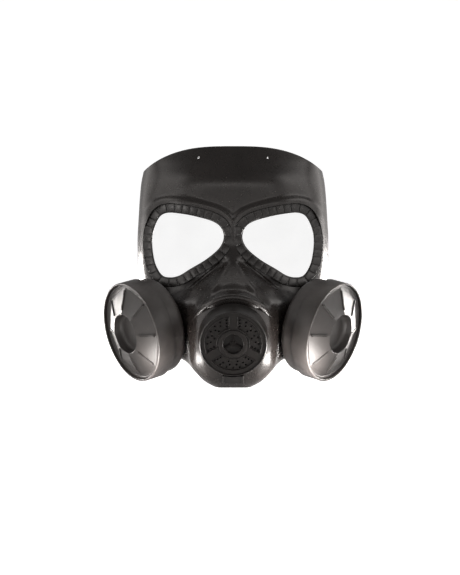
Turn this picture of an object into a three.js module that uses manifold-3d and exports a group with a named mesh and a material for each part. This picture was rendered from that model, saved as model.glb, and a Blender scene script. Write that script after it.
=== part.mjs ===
import * as THREE from "three";
import { mergeVertices } from "three/addons/utils/BufferGeometryUtils.js";
import Module from "manifold-3d";

// Gas mask style costume mask, standing on its chin.
// Millimetres, +Z up, the face looks toward -Y, left and right are as seen from the front.
// y = 0 is the plane of the lenses and z = 0 is the flat of the chin until the last lines.

const wasm = await Module();
wasm.setup();

// Driving sizes of the shell
const MASK_HEIGHT = 216;
const FACE_HALF_WIDTH = 90.5;
const SHELL_DEPTH = 108;
const WALL = 2;
const FIT_GAP = 0.3;
const RADIANS = Math.PI / 180;

// Sides of the round pieces: equal counts keep mating flats in line.
const SIDES = { can: 24, neck: 12, valve: 32, throat: 24, hub: 12, vent: 5, strapHole: 8 };

// Sections of the shell from the chin up: height is a share of MASK_HEIGHT, every X a share of
// FACE_HALF_WIDTH and every Y a share of SHELL_DEPTH, so each row is half of one level cut.
const SECTION_COLUMNS = [
  "height", "ridgeY", "panelX", "panelY", "flankX", "flankY", "rootX", "rootY",
  "cheekX", "cheekY", "templeX", "templeY", "rearX", "rearY",
];
const SECTION_ROWS = [
  [0.000, -0.400, 0.145, -0.390, 0.182, -0.345, 0.198, -0.270, 0.204, -0.150, 0.204, -0.030, 0.198, 0.100],
  [0.019, -0.445, 0.200, -0.432, 0.255, -0.372, 0.276, -0.280, 0.282, -0.150, 0.282, -0.020, 0.276, 0.120],
  [0.051, -0.482, 0.250, -0.463, 0.326, -0.390, 0.358, -0.288, 0.370, -0.140, 0.370, 0.010, 0.360, 0.157],
  [0.083, -0.495, 0.288, -0.472, 0.381, -0.390, 0.425, -0.288, 0.447, -0.130, 0.453, 0.037, 0.448, 0.204],
  [0.116, -0.505, 0.316, -0.477, 0.403, -0.380, 0.448, -0.259, 0.569, -0.074, 0.696, 0.093, 0.762, 0.315],
  [0.167, -0.514, 0.342, -0.477, 0.425, -0.370, 0.453, -0.259, 0.624, -0.046, 0.785, 0.130, 0.845, 0.398],
  [0.241, -0.518, 0.350, -0.470, 0.436, -0.352, 0.475, -0.250, 0.691, -0.009, 0.862, 0.176, 0.922, 0.454],
  [0.333, -0.500, 0.309, -0.426, 0.420, -0.306, 0.497, -0.204, 0.762, 0.018, 0.917, 0.204, 0.967, 0.472],
  [0.398, -0.426, 0.210, -0.375, 0.398, -0.185, 0.453, -0.106, 0.796, 0.046, 0.950, 0.222, 0.989, 0.481],
  [0.463, -0.278, 0.088, -0.250, 0.226, -0.148, 0.265, -0.102, 0.862, 0.083, 0.972, 0.241, 0.994, 0.481],
  [0.519, -0.160, 0.044, -0.148, 0.105, -0.111, 0.276, -0.098, 0.884, 0.088, 0.980, 0.241, 1.000, 0.481],
  [0.593, -0.116, 0.276, -0.102, 0.519, -0.065, 0.740, 0.005, 0.895, 0.088, 0.983, 0.241, 1.000, 0.481],
  [0.685, -0.110, 0.276, -0.095, 0.519, -0.065, 0.740, 0.005, 0.890, 0.088, 0.972, 0.241, 0.989, 0.481],
  [0.769, -0.122, 0.276, -0.112, 0.519, -0.078, 0.729, 0.002, 0.884, 0.106, 0.961, 0.259, 0.978, 0.472],
  [0.843, -0.140, 0.276, -0.127, 0.519, -0.080, 0.729, 0.009, 0.867, 0.125, 0.945, 0.269, 0.961, 0.454],
  [0.926, -0.090, 0.265, -0.080, 0.497, -0.037, 0.696, 0.042, 0.829, 0.139, 0.906, 0.278, 0.917, 0.407],
  [1.040, 0.020, 0.265, 0.028, 0.486, 0.069, 0.663, 0.130, 0.796, 0.222, 0.873, 0.324, 0.884, 0.398],
];
const LEVEL_STEP = 0.075;
const STEPS_BETWEEN_COLUMNS = 2;

// The forehead edge falls away to the temples as a share of MASK_HEIGHT, and turns down the rear edge.
const EDGE = {
  fall: 0.13,
  power: 3,
  steps: 20,
  cornerRadius: 0.111 * MASK_HEIGHT,
  cornerY: 0.25,
  cornerZ: 0.915,
  cornerSteps: 6,
};
const STRAP_HOLE = { x: 0.348 * FACE_HALF_WIDTH, z: 0.949 * MASK_HEIGHT, radius: 1.3 };

// Trimming prisms stand this much past the shell, as a multiple of its size.
const TRIM_REACH = 1.1;

// Eye windows: the outline runs round from the upper outer corner toward the nose.
const WINDOW = {
  innerX: 0.0939 * FACE_HALF_WIDTH,
  width: 0.7315 * FACE_HALF_WIDTH,
  bottomZ: 0.443 * MASK_HEIGHT,
  height: 0.2745 * MASK_HEIGHT,
  y: -0.111 * SHELL_DEPTH,
  sweep: 0.185 * SHELL_DEPTH,
  sweepPower: 2.4,
};
const WINDOW_OUTLINE_COLUMNS = ["across", "up"];
const WINDOW_OUTLINE = [
  [0.78, 1.00], [0.57, 0.985], [0.36, 0.94], [0.14, 0.865], [0.047, 0.79], [0.00, 0.64], [0.047, 0.487],
  [0.222, 0.305], [0.465, 0.137], [0.628, 0.027], [0.739, 0.00], [0.85, 0.022], [0.946, 0.174],
  [0.992, 0.386], [1.00, 0.602], [0.965, 0.784], [0.878, 0.953],
];
const RIM = {
  width: 8.4,
  proud: 1.4,
  lipStep: 1.2,
  lipWidth: 0.9,
  depth: 5,
  bridgeHalf: 1.6,
  ribs: 30,
  ribShare: 0.8,
  grooveDepth: 0.9,
};
const LENS = { thickness: 1.2, overlap: 3.5, rings: 2, points: 24 };

// Raised bands: a brow over each rim, as shares of the window outline, and a crease by the nose
const BROW = { offset: 3.6, width: 6.4, height: 2, start: 0.86, end: 0.335, steps: 12 };
const CREASE = {
  topX: 0.088 * FACE_HALF_WIDTH,
  topZ: 0.5115 * MASK_HEIGHT,
  bottomX: 0.453 * FACE_HALF_WIDTH,
  bottomZ: 0.391 * MASK_HEIGHT,
  width: 1.6,
  height: 1,
  steps: 4,
};

// Section of a band: across is a share of its width, out a share of its height or of the wall
const BAND_SECTION = [[-0.5, -2], [-0.32, 0.75], [0, 1], [0.32, 0.75], [0.5, -2]];
const BAND_END_HEIGHT = 0.35;

// Breathing valve: its axis points forward and down.
const VALVE = {
  tilt: 14,
  y: -0.63 * SHELL_DEPTH,
  z: 0.192 * MASK_HEIGHT,
  radius: 29.9,
  flare: 1.1,
  lip: 1.2,
  length: 17,
  throat: 21.7,
  reach: 22,
};
const COLLAR = { radius: 38.5, front: 21, back: 46, lip: 1.5 };
const HOUSING_BACK = 35;
const COVER = { thickness: 3, sunk: 1.4, spoke: 8.1 };
const FIELD = { inner: 14.6, outer: 24.6, depth: 1, outerSteps: 10, innerSteps: 6 };
const HUB_RING = { inner: 9, outer: 12.8, raise: 0.9, bevel: 0.5, floor: 1 };
const HUB = { middle: 2.4, armWidth: 2.4, height: 1.4 };
const VENT = { radius: 0.9, margin: 1.6, rows: [[17.2, 3], [20, 4], [22.8, 6]] };
const SPOKE_ANGLES = [90, 210, 330];
const LATCH = { width: 18.2, height: 7.4, depth: 6, front: 1.5, cheek: 1.4, cheekRaise: 0.8 };

// Filter cans on the cheeks: the axis points out, forward and down.
const CAN = {
  x: 1.028 * FACE_HALF_WIDTH,
  y: -0.185 * SHELL_DEPTH,
  z: 0.2176 * MASK_HEIGHT,
  radius: 46,
  length: 32,
  turn: 54,
  tilt: 11,
  wall: 1.6,
  edge: 0.6,
};
const CAN_STEP = { at: 17, drop: 2.2, round: 5, bevel: 1.5 };
const CAN_NECK = { shoulder: 20, spigot: 14, reach: 11 };
const CAP = {
  sunk: 2.4,
  thickness: 2,
  ring: 2.6,
  edge: 0.5,
  recess: 18.4,
  recessDepth: 9,
  draft: 1,
  rise: 9.2,
  facets: 8,
};
const CAP_RIB = { inner: 21, outer: 39.5, width: 1.3, height: 0.9, boss: 1.5 };

// Colour and finish of each piece
const shellPlastic = { color: 0x1c1b1a, roughness: 0.38, metalness: 0 };
const rimRubber = { color: 0x161514, roughness: 0.5, metalness: 0 };
const canPlastic = { color: 0x232221, roughness: 0.42, metalness: 0 };
const capPlastic = { color: 0x2a2927, roughness: 0.45, metalness: 0 };
const valvePlastic = { color: 0x1a1918, roughness: 0.5, metalness: 0 };
const clearSheet = { color: 0xf0f0ee, roughness: 0.05, metalness: 0, transparent: true, opacity: 0.25 };

// Turns a geometry whose faces point inwards inside out
function facingOut(geometry) {
  const p = geometry.attributes.position;
  const index = geometry.index.array;
  let volume = 0;
  const [a, b, c] = [new THREE.Vector3(), new THREE.Vector3(), new THREE.Vector3()];
  for (let i = 0; i < index.length; i += 3) {
    a.fromBufferAttribute(p, index[i]);
    b.fromBufferAttribute(p, index[i + 1]);
    c.fromBufferAttribute(p, index[i + 2]);
    volume += a.dot(b.cross(c));
  }
  if (volume < 0) {
    for (let i = 0; i < index.length; i += 3) {
      [index[i + 1], index[i + 2]] = [index[i + 2], index[i + 1]];
    }
  }
  return geometry;
}

// Joins equal corners and drops faces without area, so that the surface is one closed mesh
function closed(geometry) {
  geometry.deleteAttribute("normal");
  geometry.deleteAttribute("uv");
  const merged = mergeVertices(geometry, 1e-4);
  const kept = [];
  for (let i = 0; i < merged.index.count; i += 3) {
    const [a, b, c] = [0, 1, 2].map((k) => merged.index.getX(i + k));
    if (a !== b && b !== c && c !== a) {
      kept.push(a, b, c);
    }
  }
  merged.setIndex(kept);
  return facingOut(merged);
}

function solidOf(geometry) {
  const clean = closed(geometry);
  const vertProperties = new Float32Array(clean.attributes.position.array);
  const triVerts = new Uint32Array(clean.index.array);
  return new wasm.Manifold(new wasm.Mesh({ numProp: 3, vertProperties, triVerts }));
}

function geometryOf(solid) {
  const mesh = solid.getMesh();
  const geometry = new THREE.BufferGeometry();
  geometry.setAttribute("position", new THREE.BufferAttribute(new Float32Array(mesh.vertProperties), 3));
  geometry.setIndex(new THREE.BufferAttribute(new Uint32Array(mesh.triVerts), 1));
  geometry.computeVertexNormals();
  return geometry;
}

// Closed skin over rings of equal point counts; a run that doesn't return gets two end caps
function skin(rings, { returns = false, capPlane = null } = {}) {
  const count = rings[0].length;
  const positions = rings.flat().flatMap((p) => [p.x, p.y, p.z]);
  const index = [];
  const last = returns ? rings.length : rings.length - 1;
  for (let i = 0; i < last; i += 1) {
    for (let j = 0; j < count; j += 1) {
      const a = i * count + j;
      const b = i * count + (j + 1) % count;
      const c = ((i + 1) % rings.length) * count + j;
      const d = ((i + 1) % rings.length) * count + (j + 1) % count;
      index.push(a, b, d, a, d, c);
    }
  }
  if (!returns) {
    const start = endCap(rings[0], capPlane);
    const end = endCap(rings[rings.length - 1], capPlane);
    const base = (rings.length - 1) * count;
    start.forEach(([a, b, c]) => index.push(a, c, b));
    end.forEach(([a, b, c]) => index.push(base + a, base + b, base + c));
  }
  const geometry = new THREE.BufferGeometry();
  geometry.setAttribute("position", new THREE.Float32BufferAttribute(positions, 3));
  geometry.setIndex(index);
  return geometry;
}

// Triangles of one end ring, a fan unless a plane is named for a hollow outline
function endCap(ring, capPlane) {
  if (!capPlane) {
    return ring.slice(2).map((_, i) => [0, i + 1, i + 2]);
  }
  const flat = ring.map((p) => new THREE.Vector2(...capPlane(p)));
  const turnsLeft = THREE.ShapeUtils.area(flat) > 0;
  const triangles = THREE.ShapeUtils.triangulateShape(flat, []);
  return triangles.map(([a, b, c]) => (turnsLeft ? [a, b, c] : [a, c, b]));
}

// Smooth value between table rows that never passes beyond the two rows next to it
function between(heights, values, height) {
  const last = heights.length - 1;
  let i = 0;
  while (i < last - 1 && height > heights[i + 1]) {
    i += 1;
  }
  const rise = (k) => (values[k + 1] - values[k]) / (heights[k + 1] - heights[k]);
  const slope = (k) => {
    if (k === 0 || k === last) {
      return rise(k === 0 ? 0 : last - 1);
    }
    const [before, after] = [rise(k - 1), rise(k)];
    return before * after > 0 ? (2 * before * after) / (before + after) : 0;
  };
  const span = heights[i + 1] - heights[i];
  const t = (height - heights[i]) / span;
  const hermite = [(1 + 2 * t) * (1 - t) ** 2, t * (1 - t) ** 2, t * t * (3 - 2 * t), t * t * (t - 1)];
  return hermite[0] * values[i] + hermite[1] * span * slope(i)
    + hermite[2] * values[i + 1] + hermite[3] * span * slope(i + 1);
}

const sectionHeights = SECTION_ROWS.map((row) => row[0]);

function column(name, share) {
  const values = SECTION_ROWS.map((row) => row[SECTION_COLUMNS.indexOf(name)]);
  return between(sectionHeights, values, share);
}

// Level cut of the shell's outside at one height, from the left rear edge to the right rear edge
function levelCut(share) {
  const half = ["panel", "flank", "root", "cheek", "temple", "rear"].map((place) => [
    column(`${place}X`, share) * FACE_HALF_WIDTH,
    column(`${place}Y`, share) * SHELL_DEPTH,
  ]);
  const z = share * MASK_HEIGHT;
  const left = half.map(([x, y]) => new THREE.Vector3(-x, y, z)).reverse();
  const middle = new THREE.Vector3(0, column("ridgeY", share) * SHELL_DEPTH, z);
  const right = half.map(([x, y]) => new THREE.Vector3(x, y, z));
  const curve = new THREE.CatmullRomCurve3([...left, middle, ...right], false, "centripetal");
  return curve.getPoints(2 * half.length * STEPS_BETWEEN_COLUMNS);
}

function levelShares() {
  const shares = [sectionHeights[0]];
  for (let i = 1; i < sectionHeights.length; i += 1) {
    const [low, high] = [sectionHeights[i - 1], sectionHeights[i]];
    const steps = Math.ceil((high - low) / LEVEL_STEP);
    for (let k = 1; k <= steps; k += 1) {
      shares.push(THREE.MathUtils.lerp(low, high, k / steps));
    }
  }
  return shares;
}

const levelCuts = levelShares().map(levelCut);

// The level cuts moved along the surface's own outward normal
function offsetCuts(distance) {
  return levelCuts.map((points, i) => {
    const below = levelCuts[Math.max(i - 1, 0)];
    const above = levelCuts[Math.min(i + 1, levelCuts.length - 1)];
    return points.map((point, j) => {
      const along = points[Math.min(j + 1, points.length - 1)].clone().sub(points[Math.max(j - 1, 0)]);
      const up = above[j].clone().sub(below[j]);
      return point.clone().addScaledVector(along.cross(up).normalize(), distance);
    });
  });
}

// Filled form inside the offset surface; reach carries it back past the rear edge
function filledForm(distance, reach, floor) {
  const rings = offsetCuts(distance).map((points) => {
    points.forEach((p) => {
      p.z = Math.max(p.z, floor);
    });
    if (reach === 0) {
      return points;
    }
    const [first, last] = [points[0].clone().setY(reach), points.at(-1).clone().setY(reach)];
    return [first, ...points, last];
  });
  return skin(rings, { capPlane: (p) => [p.x, p.y] });
}

// Depth of one level cut at a distance from the middle of the face
function cutY(points, x) {
  const middle = (points.length - 1) / 2;
  for (let i = middle; i < points.length - 1; i += 1) {
    const [a, b] = [points[i], points[i + 1]];
    if (Math.abs(x) <= b.x && b.x > a.x) {
      return THREE.MathUtils.mapLinear(Math.abs(x), a.x, b.x, a.y, b.y);
    }
  }
  return points.at(-1).y;
}

// Depth of the shell's outside at a place of the front view
function shellFrontY(x, z) {
  let i = 0;
  while (i < levelCuts.length - 2 && z > levelCuts[i + 1][0].z) {
    i += 1;
  }
  const [below, above] = [levelCuts[i], levelCuts[i + 1]];
  return THREE.MathUtils.mapLinear(z, below[0].z, above[0].z, cutY(below, x), cutY(above, x));
}

// Depth of the lens and rim surface, swept back toward the temples
function windowY(x) {
  return WINDOW.y + WINDOW.sweep * (Math.abs(x) / (WINDOW.innerX + WINDOW.width)) ** WINDOW.sweepPower;
}

const windowCurve = new THREE.CatmullRomCurve3(
  WINDOW_OUTLINE.map((row) => new THREE.Vector3(
    WINDOW.innerX + row[WINDOW_OUTLINE_COLUMNS.indexOf("across")] * WINDOW.width,
    0,
    WINDOW.bottomZ + row[WINDOW_OUTLINE_COLUMNS.indexOf("up")] * WINDOW.height,
  )),
  true,
  "centripetal",
);

// Point at a share of the window outline, moved outwards in the front view
function windowPoint(share, outwards, keepX = 0) {
  const at = windowCurve.getPointAt(share % 1);
  const tangent = windowCurve.getTangentAt(share % 1);
  const x = Math.max(at.x + tangent.z * outwards, keepX);
  return new THREE.Vector3(x, 0, at.z - tangent.x * outwards);
}

// The frame's outside runs straight from rib to rib, and so does the socket in the shell.
function frameCorner(rib, outwards, keepX) {
  return windowPoint(rib / RIM.ribs, outwards, keepX);
}

function frameOutline(outwards, keepX) {
  return Array.from({ length: RIM.ribs }, (_, rib) => frameCorner(rib, outwards, keepX));
}

// Places round a window where a rib starts, where it ends and where the groove is deepest
const ribStations = Array.from({ length: RIM.ribs }, (_, rib) => [
  { rib, part: 0, groove: 0 },
  { rib, part: RIM.ribShare, groove: 0 },
  { rib, part: (1 + RIM.ribShare) / 2, groove: RIM.grooveDepth },
]).flat();

// Straight prism through the shell along Y over an outline of the front view
function frontPrism(outline, side) {
  const ring = (y) => outline.map((p) => new THREE.Vector3(side * p.x, y, p.z));
  return skin([ring(-SHELL_DEPTH), ring(SHELL_DEPTH)], { capPlane: (p) => [p.x, p.z] });
}

// What the forehead edge leaves off, as a prism along Y
function foreheadTrim() {
  const reach = FACE_HALF_WIDTH * TRIM_REACH;
  const above = MASK_HEIGHT * TRIM_REACH;
  const outline = Array.from({ length: EDGE.steps + 1 }, (_, i) => {
    const x = THREE.MathUtils.lerp(-reach, reach, i / EDGE.steps);
    const fall = EDGE.fall * (Math.abs(x) / FACE_HALF_WIDTH) ** EDGE.power;
    return new THREE.Vector3(x, 0, MASK_HEIGHT * (1 - fall));
  });
  outline.push(new THREE.Vector3(reach, 0, above), new THREE.Vector3(-reach, 0, above));
  return frontPrism(outline, 1);
}

// What the rounded corner over each temple leaves off, as a prism along X
function templeTrim() {
  const centreY = SHELL_DEPTH * EDGE.cornerY;
  const centreZ = MASK_HEIGHT * EDGE.cornerZ - EDGE.cornerRadius;
  const reach = SHELL_DEPTH * TRIM_REACH;
  const above = MASK_HEIGHT * TRIM_REACH;
  const outline = Array.from({ length: EDGE.cornerSteps + 1 }, (_, i) => {
    const angle = 90 * (1 - i / EDGE.cornerSteps) * RADIANS;
    const [across, up] = [Math.cos(angle), Math.sin(angle)];
    return [centreY + EDGE.cornerRadius * across, centreZ + EDGE.cornerRadius * up];
  });
  outline.push([reach, centreZ], [reach, above], [centreY, above]);
  const ring = (x) => outline.map(([y, z]) => new THREE.Vector3(x, y, z));
  const halfWidth = FACE_HALF_WIDTH * TRIM_REACH;
  return skin([ring(-halfWidth), ring(halfWidth)], { capPlane: (p) => [p.y, p.z] });
}

// Round band of relief that lies on the shell along a path of the front view
function reliefBand(path, width, height, side) {
  const rings = path.map((p, i) => {
    const next = path[Math.min(i + 1, path.length - 1)];
    const previous = path[Math.max(i - 1, 0)];
    const along = new THREE.Vector2(next.x - previous.x, next.z - previous.z).normalize();
    const atEnd = i === 0 || i === path.length - 1;
    const raise = atEnd ? height * BAND_END_HEIGHT : height;
    return BAND_SECTION.map(([across, out]) => {
      const x = p.x - along.y * across * width;
      const z = p.z + along.x * across * width;
      const y = shellFrontY(x, z) - out * (out > 0 ? raise : WALL);
      return new THREE.Vector3(side * x, y, z);
    });
  });
  return skin(rings);
}

function browPath() {
  return Array.from({ length: BROW.steps + 1 }, (_, i) => {
    const share = THREE.MathUtils.lerp(BROW.start, BROW.end + 1, i / BROW.steps);
    return windowPoint(share, RIM.width + BROW.offset, RIM.bridgeHalf);
  });
}

function creasePath() {
  return Array.from({ length: CREASE.steps + 1 }, (_, i) => new THREE.Vector3(
    THREE.MathUtils.lerp(CREASE.topX, CREASE.bottomX, i / CREASE.steps),
    0,
    THREE.MathUtils.lerp(CREASE.topZ, CREASE.bottomZ, i / CREASE.steps),
  ));
}

// Lathe about the outward axis: the profile holds [radius, height along the axis]
function turned(profile, segments) {
  const points = profile.map(([radius, height]) => new THREE.Vector2(radius, height));
  return new THREE.LatheGeometry(points, segments).rotateX(90 * RADIANS);
}

// Plain round rod along the outward axis
function rod(radius, from, to, segments) {
  return turned([[0, from], [radius, from], [radius, to], [0, to]], segments);
}

// Place of the valve: local Z runs out of the mask and local Y up its face
function valveMatrix() {
  const turn = new THREE.Euler((90 + VALVE.tilt) * RADIANS, 0, 0);
  return new THREE.Matrix4().makeRotationFromEuler(turn).setPosition(0, VALVE.y, VALVE.z);
}

// Place of a filter can: local Z is its outward axis and local Y runs up its face
function canMatrix(side) {
  const out = new THREE.Vector3(
    side * Math.sin(CAN.turn * RADIANS) * Math.cos(CAN.tilt * RADIANS),
    -Math.cos(CAN.turn * RADIANS) * Math.cos(CAN.tilt * RADIANS),
    -Math.sin(CAN.tilt * RADIANS),
  );
  const across = new THREE.Vector3(0, 0, 1).cross(out).normalize();
  const up = out.clone().cross(across);
  return new THREE.Matrix4().makeBasis(across, up, out).setPosition(side * CAN.x, CAN.y, CAN.z);
}

// Drum of the muzzle behind the valve, made smaller all round by an inset
function collarDrum(inset) {
  const radius = COLLAR.radius - inset;
  const front = -COLLAR.front - inset;
  const profile = [
    [0, front], [radius - COLLAR.lip, front], [radius, front - COLLAR.lip],
    [radius, -COLLAR.back], [0, -COLLAR.back],
  ];
  return solidOf(turned(profile, SIDES.valve).applyMatrix4(valveMatrix()));
}

function faceShell() {
  let shell = solidOf(filledForm(0, 0, 0)).add(collarDrum(0));
  for (const side of [-1, 1]) {
    shell = shell.add(solidOf(reliefBand(browPath(), BROW.width, BROW.height, side)));
    shell = shell.add(solidOf(reliefBand(creasePath(), CREASE.width, CREASE.height, side)));
  }
  const hollow = solidOf(filledForm(-WALL, SHELL_DEPTH, WALL)).add(collarDrum(WALL));
  shell = shell.subtract(hollow).subtract(solidOf(foreheadTrim())).subtract(solidOf(templeTrim()));
  for (const side of [-1, 1]) {
    const socket = frameOutline(RIM.width + FIT_GAP, RIM.bridgeHalf - FIT_GAP);
    shell = shell.subtract(solidOf(frontPrism(socket, side)));
    const strapHole = rod(STRAP_HOLE.radius, -SHELL_DEPTH, SHELL_DEPTH, SIDES.strapHole);
    strapHole.rotateX(90 * RADIANS).translate(side * STRAP_HOLE.x, 0, STRAP_HOLE.z);
    shell = shell.subtract(solidOf(strapHole));
    const portEnd = -CAN.length - CAN_NECK.reach - 2 * WALL;
    const port = rod(CAN_NECK.spigot + FIT_GAP, portEnd, -CAN.length, SIDES.neck);
    shell = shell.subtract(solidOf(port.applyMatrix4(canMatrix(side))));
  }
  const throat = VALVE.throat + FIT_GAP;
  const bore = rod(throat, -SHELL_DEPTH / 2, 0, SIDES.throat);
  return shell.subtract(solidOf(bore.applyMatrix4(valveMatrix())));
}

// Ribbed frame round one eye window
function eyeRim(side) {
  const rings = ribStations.map(({ rib, part, groove }) => {
    const inside = (outwards) => windowPoint((rib + part) / RIM.ribs, outwards);
    const outside = frameCorner(rib, RIM.width, RIM.bridgeHalf)
      .lerp(frameCorner(rib + 1, RIM.width, RIM.bridgeHalf), part);
    return [
      [inside(0), RIM.lipStep],
      [inside(RIM.lipWidth), groove / 2],
      [outside, groove - RIM.proud],
      [outside, RIM.depth],
      [inside(0), RIM.depth],
    ].map(([p, back]) => new THREE.Vector3(side * p.x, windowY(p.x) + back, p.z));
  });
  return skin(rings, { returns: true });
}

// Clear sheet behind the rim, bowed with it
function lens(side) {
  const outline = Array.from({ length: LENS.points }, (_, i) => (
    windowPoint(i / LENS.points, LENS.overlap, RIM.bridgeHalf + FIT_GAP)
  ));
  const middle = { x: WINDOW.innerX + WINDOW.width / 2, z: WINDOW.bottomZ + WINDOW.height / 2 };
  const front = RIM.depth + FIT_GAP;
  const ring = (share, back) => outline.map((p) => {
    const x = THREE.MathUtils.lerp(middle.x, p.x, share);
    const z = THREE.MathUtils.lerp(middle.z, p.z, share);
    return new THREE.Vector3(side * x, windowY(x) + back, z);
  });
  const reaches = Array.from({ length: LENS.rings }, (_, i) => (i + 1) / LENS.rings);
  const rings = [
    ...reaches.map((reach) => ring(reach, front)),
    ...reaches.reverse().map((reach) => ring(reach, front + LENS.thickness)),
  ];
  return skin(rings, { capPlane: (p) => [p.x, p.z] });
}

// The shell's outside with the fit gap added, for pieces that seat on it
const seat = geometryOf(solidOf(filledForm(FIT_GAP, 0, -FIT_GAP)).add(collarDrum(-FIT_GAP)));

function seatSeenFrom(matrix) {
  return solidOf(seat.clone().applyMatrix4(matrix.clone().invert()));
}

// Open drum with a stepped wall, a shelf for the cap, and a neck that seats in the cheek
function filterCan(side) {
  const back = -CAN.length;
  const inner = CAN.radius - CAN.wall;
  const slim = CAN.radius - CAN_STEP.drop;
  const shelf = -CAP.sunk - CAP.ring - FIT_GAP;
  const profile = [
    [0, back + CAN.wall],
    [slim - CAN_STEP.round, back + CAN.wall],
    [slim - CAN.wall, back + CAN_STEP.round],
    [slim - CAN.wall, shelf],
    [inner, shelf],
    [inner, 0],
    [CAN.radius - CAN.edge, 0],
    [CAN.radius, -CAN.edge],
    [CAN.radius, -CAN_STEP.at],
    [slim, -CAN_STEP.at - CAN.edge],
    [slim, back + CAN_STEP.round],
    [slim - CAN_STEP.bevel, back + CAN_STEP.bevel],
    [slim - CAN_STEP.round, back],
    [0, back],
  ];
  const neckEnd = back - CAN_NECK.reach;
  const start = back + CAN.wall / 2;
  const shoulder = solidOf(rod(CAN_NECK.shoulder, neckEnd, start, SIDES.neck));
  const spigot = solidOf(rod(CAN_NECK.spigot, neckEnd, start, SIDES.neck));
  const drum = solidOf(turned(profile, SIDES.can));
  return drum.add(shoulder.subtract(seatSeenFrom(canMatrix(side)))).add(spigot);
}

// Height of the raised cap face: flat facets between the ribs, from the lip up to the recess
function faceHeight(radius, angle) {
  const facet = 2 * Math.PI / CAP.facets;
  const fromMiddle = ((angle % facet) + facet) % facet - facet / 2;
  const outer = CAN.radius - CAN.wall - FIT_GAP - CAP.ring;
  const reached = radius * Math.cos(fromMiddle) / Math.cos(facet / 2);
  const climb = (outer - Math.min(reached, outer)) / (outer - CAP.recess);
  return -CAP.sunk - CAP.edge + CAP.rise * climb;
}

// Faceted cap with a round recess in the middle; the first rib stands upright
function filterCap() {
  const upright = 90 * RADIANS;
  const rim = CAN.radius - CAN.wall - FIT_GAP;
  const ring = (radius, height) => Array.from({ length: SIDES.can }, (_, i) => {
    const angle = (i / SIDES.can) * 2 * Math.PI;
    const [x, y] = [-radius * Math.sin(angle), radius * Math.cos(angle)];
    return new THREE.Vector3(x, y, height === null ? faceHeight(radius, angle) : height);
  });
  const floor = -CAP.sunk - CAP.edge + CAP.rise - CAP.recessDepth;
  const lowered = (points) => points.map((p) => p.clone().setZ(p.z - CAP.thickness));
  const rings = [
    ring(CAP.recess - CAP.draft, floor),
    ring(CAP.recess, null),
    ring(rim - CAP.ring, null),
    ring(rim - CAP.ring + CAP.edge, -CAP.sunk),
    ring(rim, -CAP.sunk),
    ring(rim, -CAP.sunk - CAP.ring),
    lowered(ring(rim - CAP.ring, null)),
    lowered(ring(CAP.recess + CAP.thickness, null)),
    ring(CAP.recess - CAP.draft + CAP.thickness, floor - CAP.thickness),
  ];
  let cap = solidOf(skin(rings, { capPlane: (p) => [p.x, p.y] }));
  for (let i = 0; i < CAP.facets; i += 1) {
    cap = cap.add(solidOf(capRib(upright + i * 2 * Math.PI / CAP.facets)));
  }
  return cap;
}

// Thin radial rib on the border between two facets, with a small boss at its outer end
function capRib(angle) {
  const { inner, outer, width, height, boss } = CAP_RIB;
  const stations = [[inner, 1], [outer - width, 1], [outer, boss]];
  const rings = stations.map(([radius, swell]) => {
    const top = faceHeight(radius, 0) + height * swell;
    const bottom = faceHeight(radius, 0) - CAP.thickness / 2;
    const half = width * swell / 2;
    const section = [[-half, bottom], [half, bottom], [half / 2, top], [-half / 2, top]];
    return section.map(([across, z]) => new THREE.Vector3(radius, across, z));
  });
  return skin(rings).rotateZ(angle);
}

// Stepped ring that carries the valve cover and seats on the front of the muzzle
function valveHousing() {
  const shelf = -COVER.sunk - COVER.thickness - FIT_GAP;
  const bore = VALVE.radius - VALVE.lip;
  const inner = VALVE.throat - WALL;
  const outer = VALVE.throat + WALL;
  const foot = VALVE.radius + VALVE.flare;
  const waist = foot - WALL;
  const body = [
    [inner, shelf],
    [bore, shelf],
    [bore, 0],
    [VALVE.radius - VALVE.lip / 3, 0],
    [VALVE.radius, -VALVE.lip / 2],
    [foot, -VALVE.length],
    [waist, -VALVE.length - WALL / 2],
    [waist, -HOUSING_BACK],
    [outer, -HOUSING_BACK],
    [outer, shelf - WALL],
    [inner, shelf - WALL],
    [inner, shelf],
  ];
  const start = shelf - WALL / 2;
  const tube = [
    [inner, start],
    [VALVE.throat, start],
    [VALVE.throat, -VALVE.reach],
    [inner, -VALVE.reach],
    [inner, start],
  ];
  const seated = solidOf(turned(body, SIDES.valve)).subtract(seatSeenFrom(valveMatrix()));
  return seated.add(solidOf(turned(tube, SIDES.throat)));
}

// Outline of one pierced field between two spokes of the valve cover
function fieldOutline(start, end) {
  const arc = (radius, steps) => Array.from({ length: steps + 1 }, (_, i) => {
    const inset = Math.asin(COVER.spoke / 2 / radius);
    const angle = THREE.MathUtils.lerp(start + inset, end - inset, i / steps);
    return new THREE.Vector3(radius * Math.cos(angle), radius * Math.sin(angle), 0);
  });
  return [...arc(FIELD.outer, FIELD.outerSteps), ...arc(FIELD.inner, FIELD.innerSteps).reverse()];
}

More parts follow.
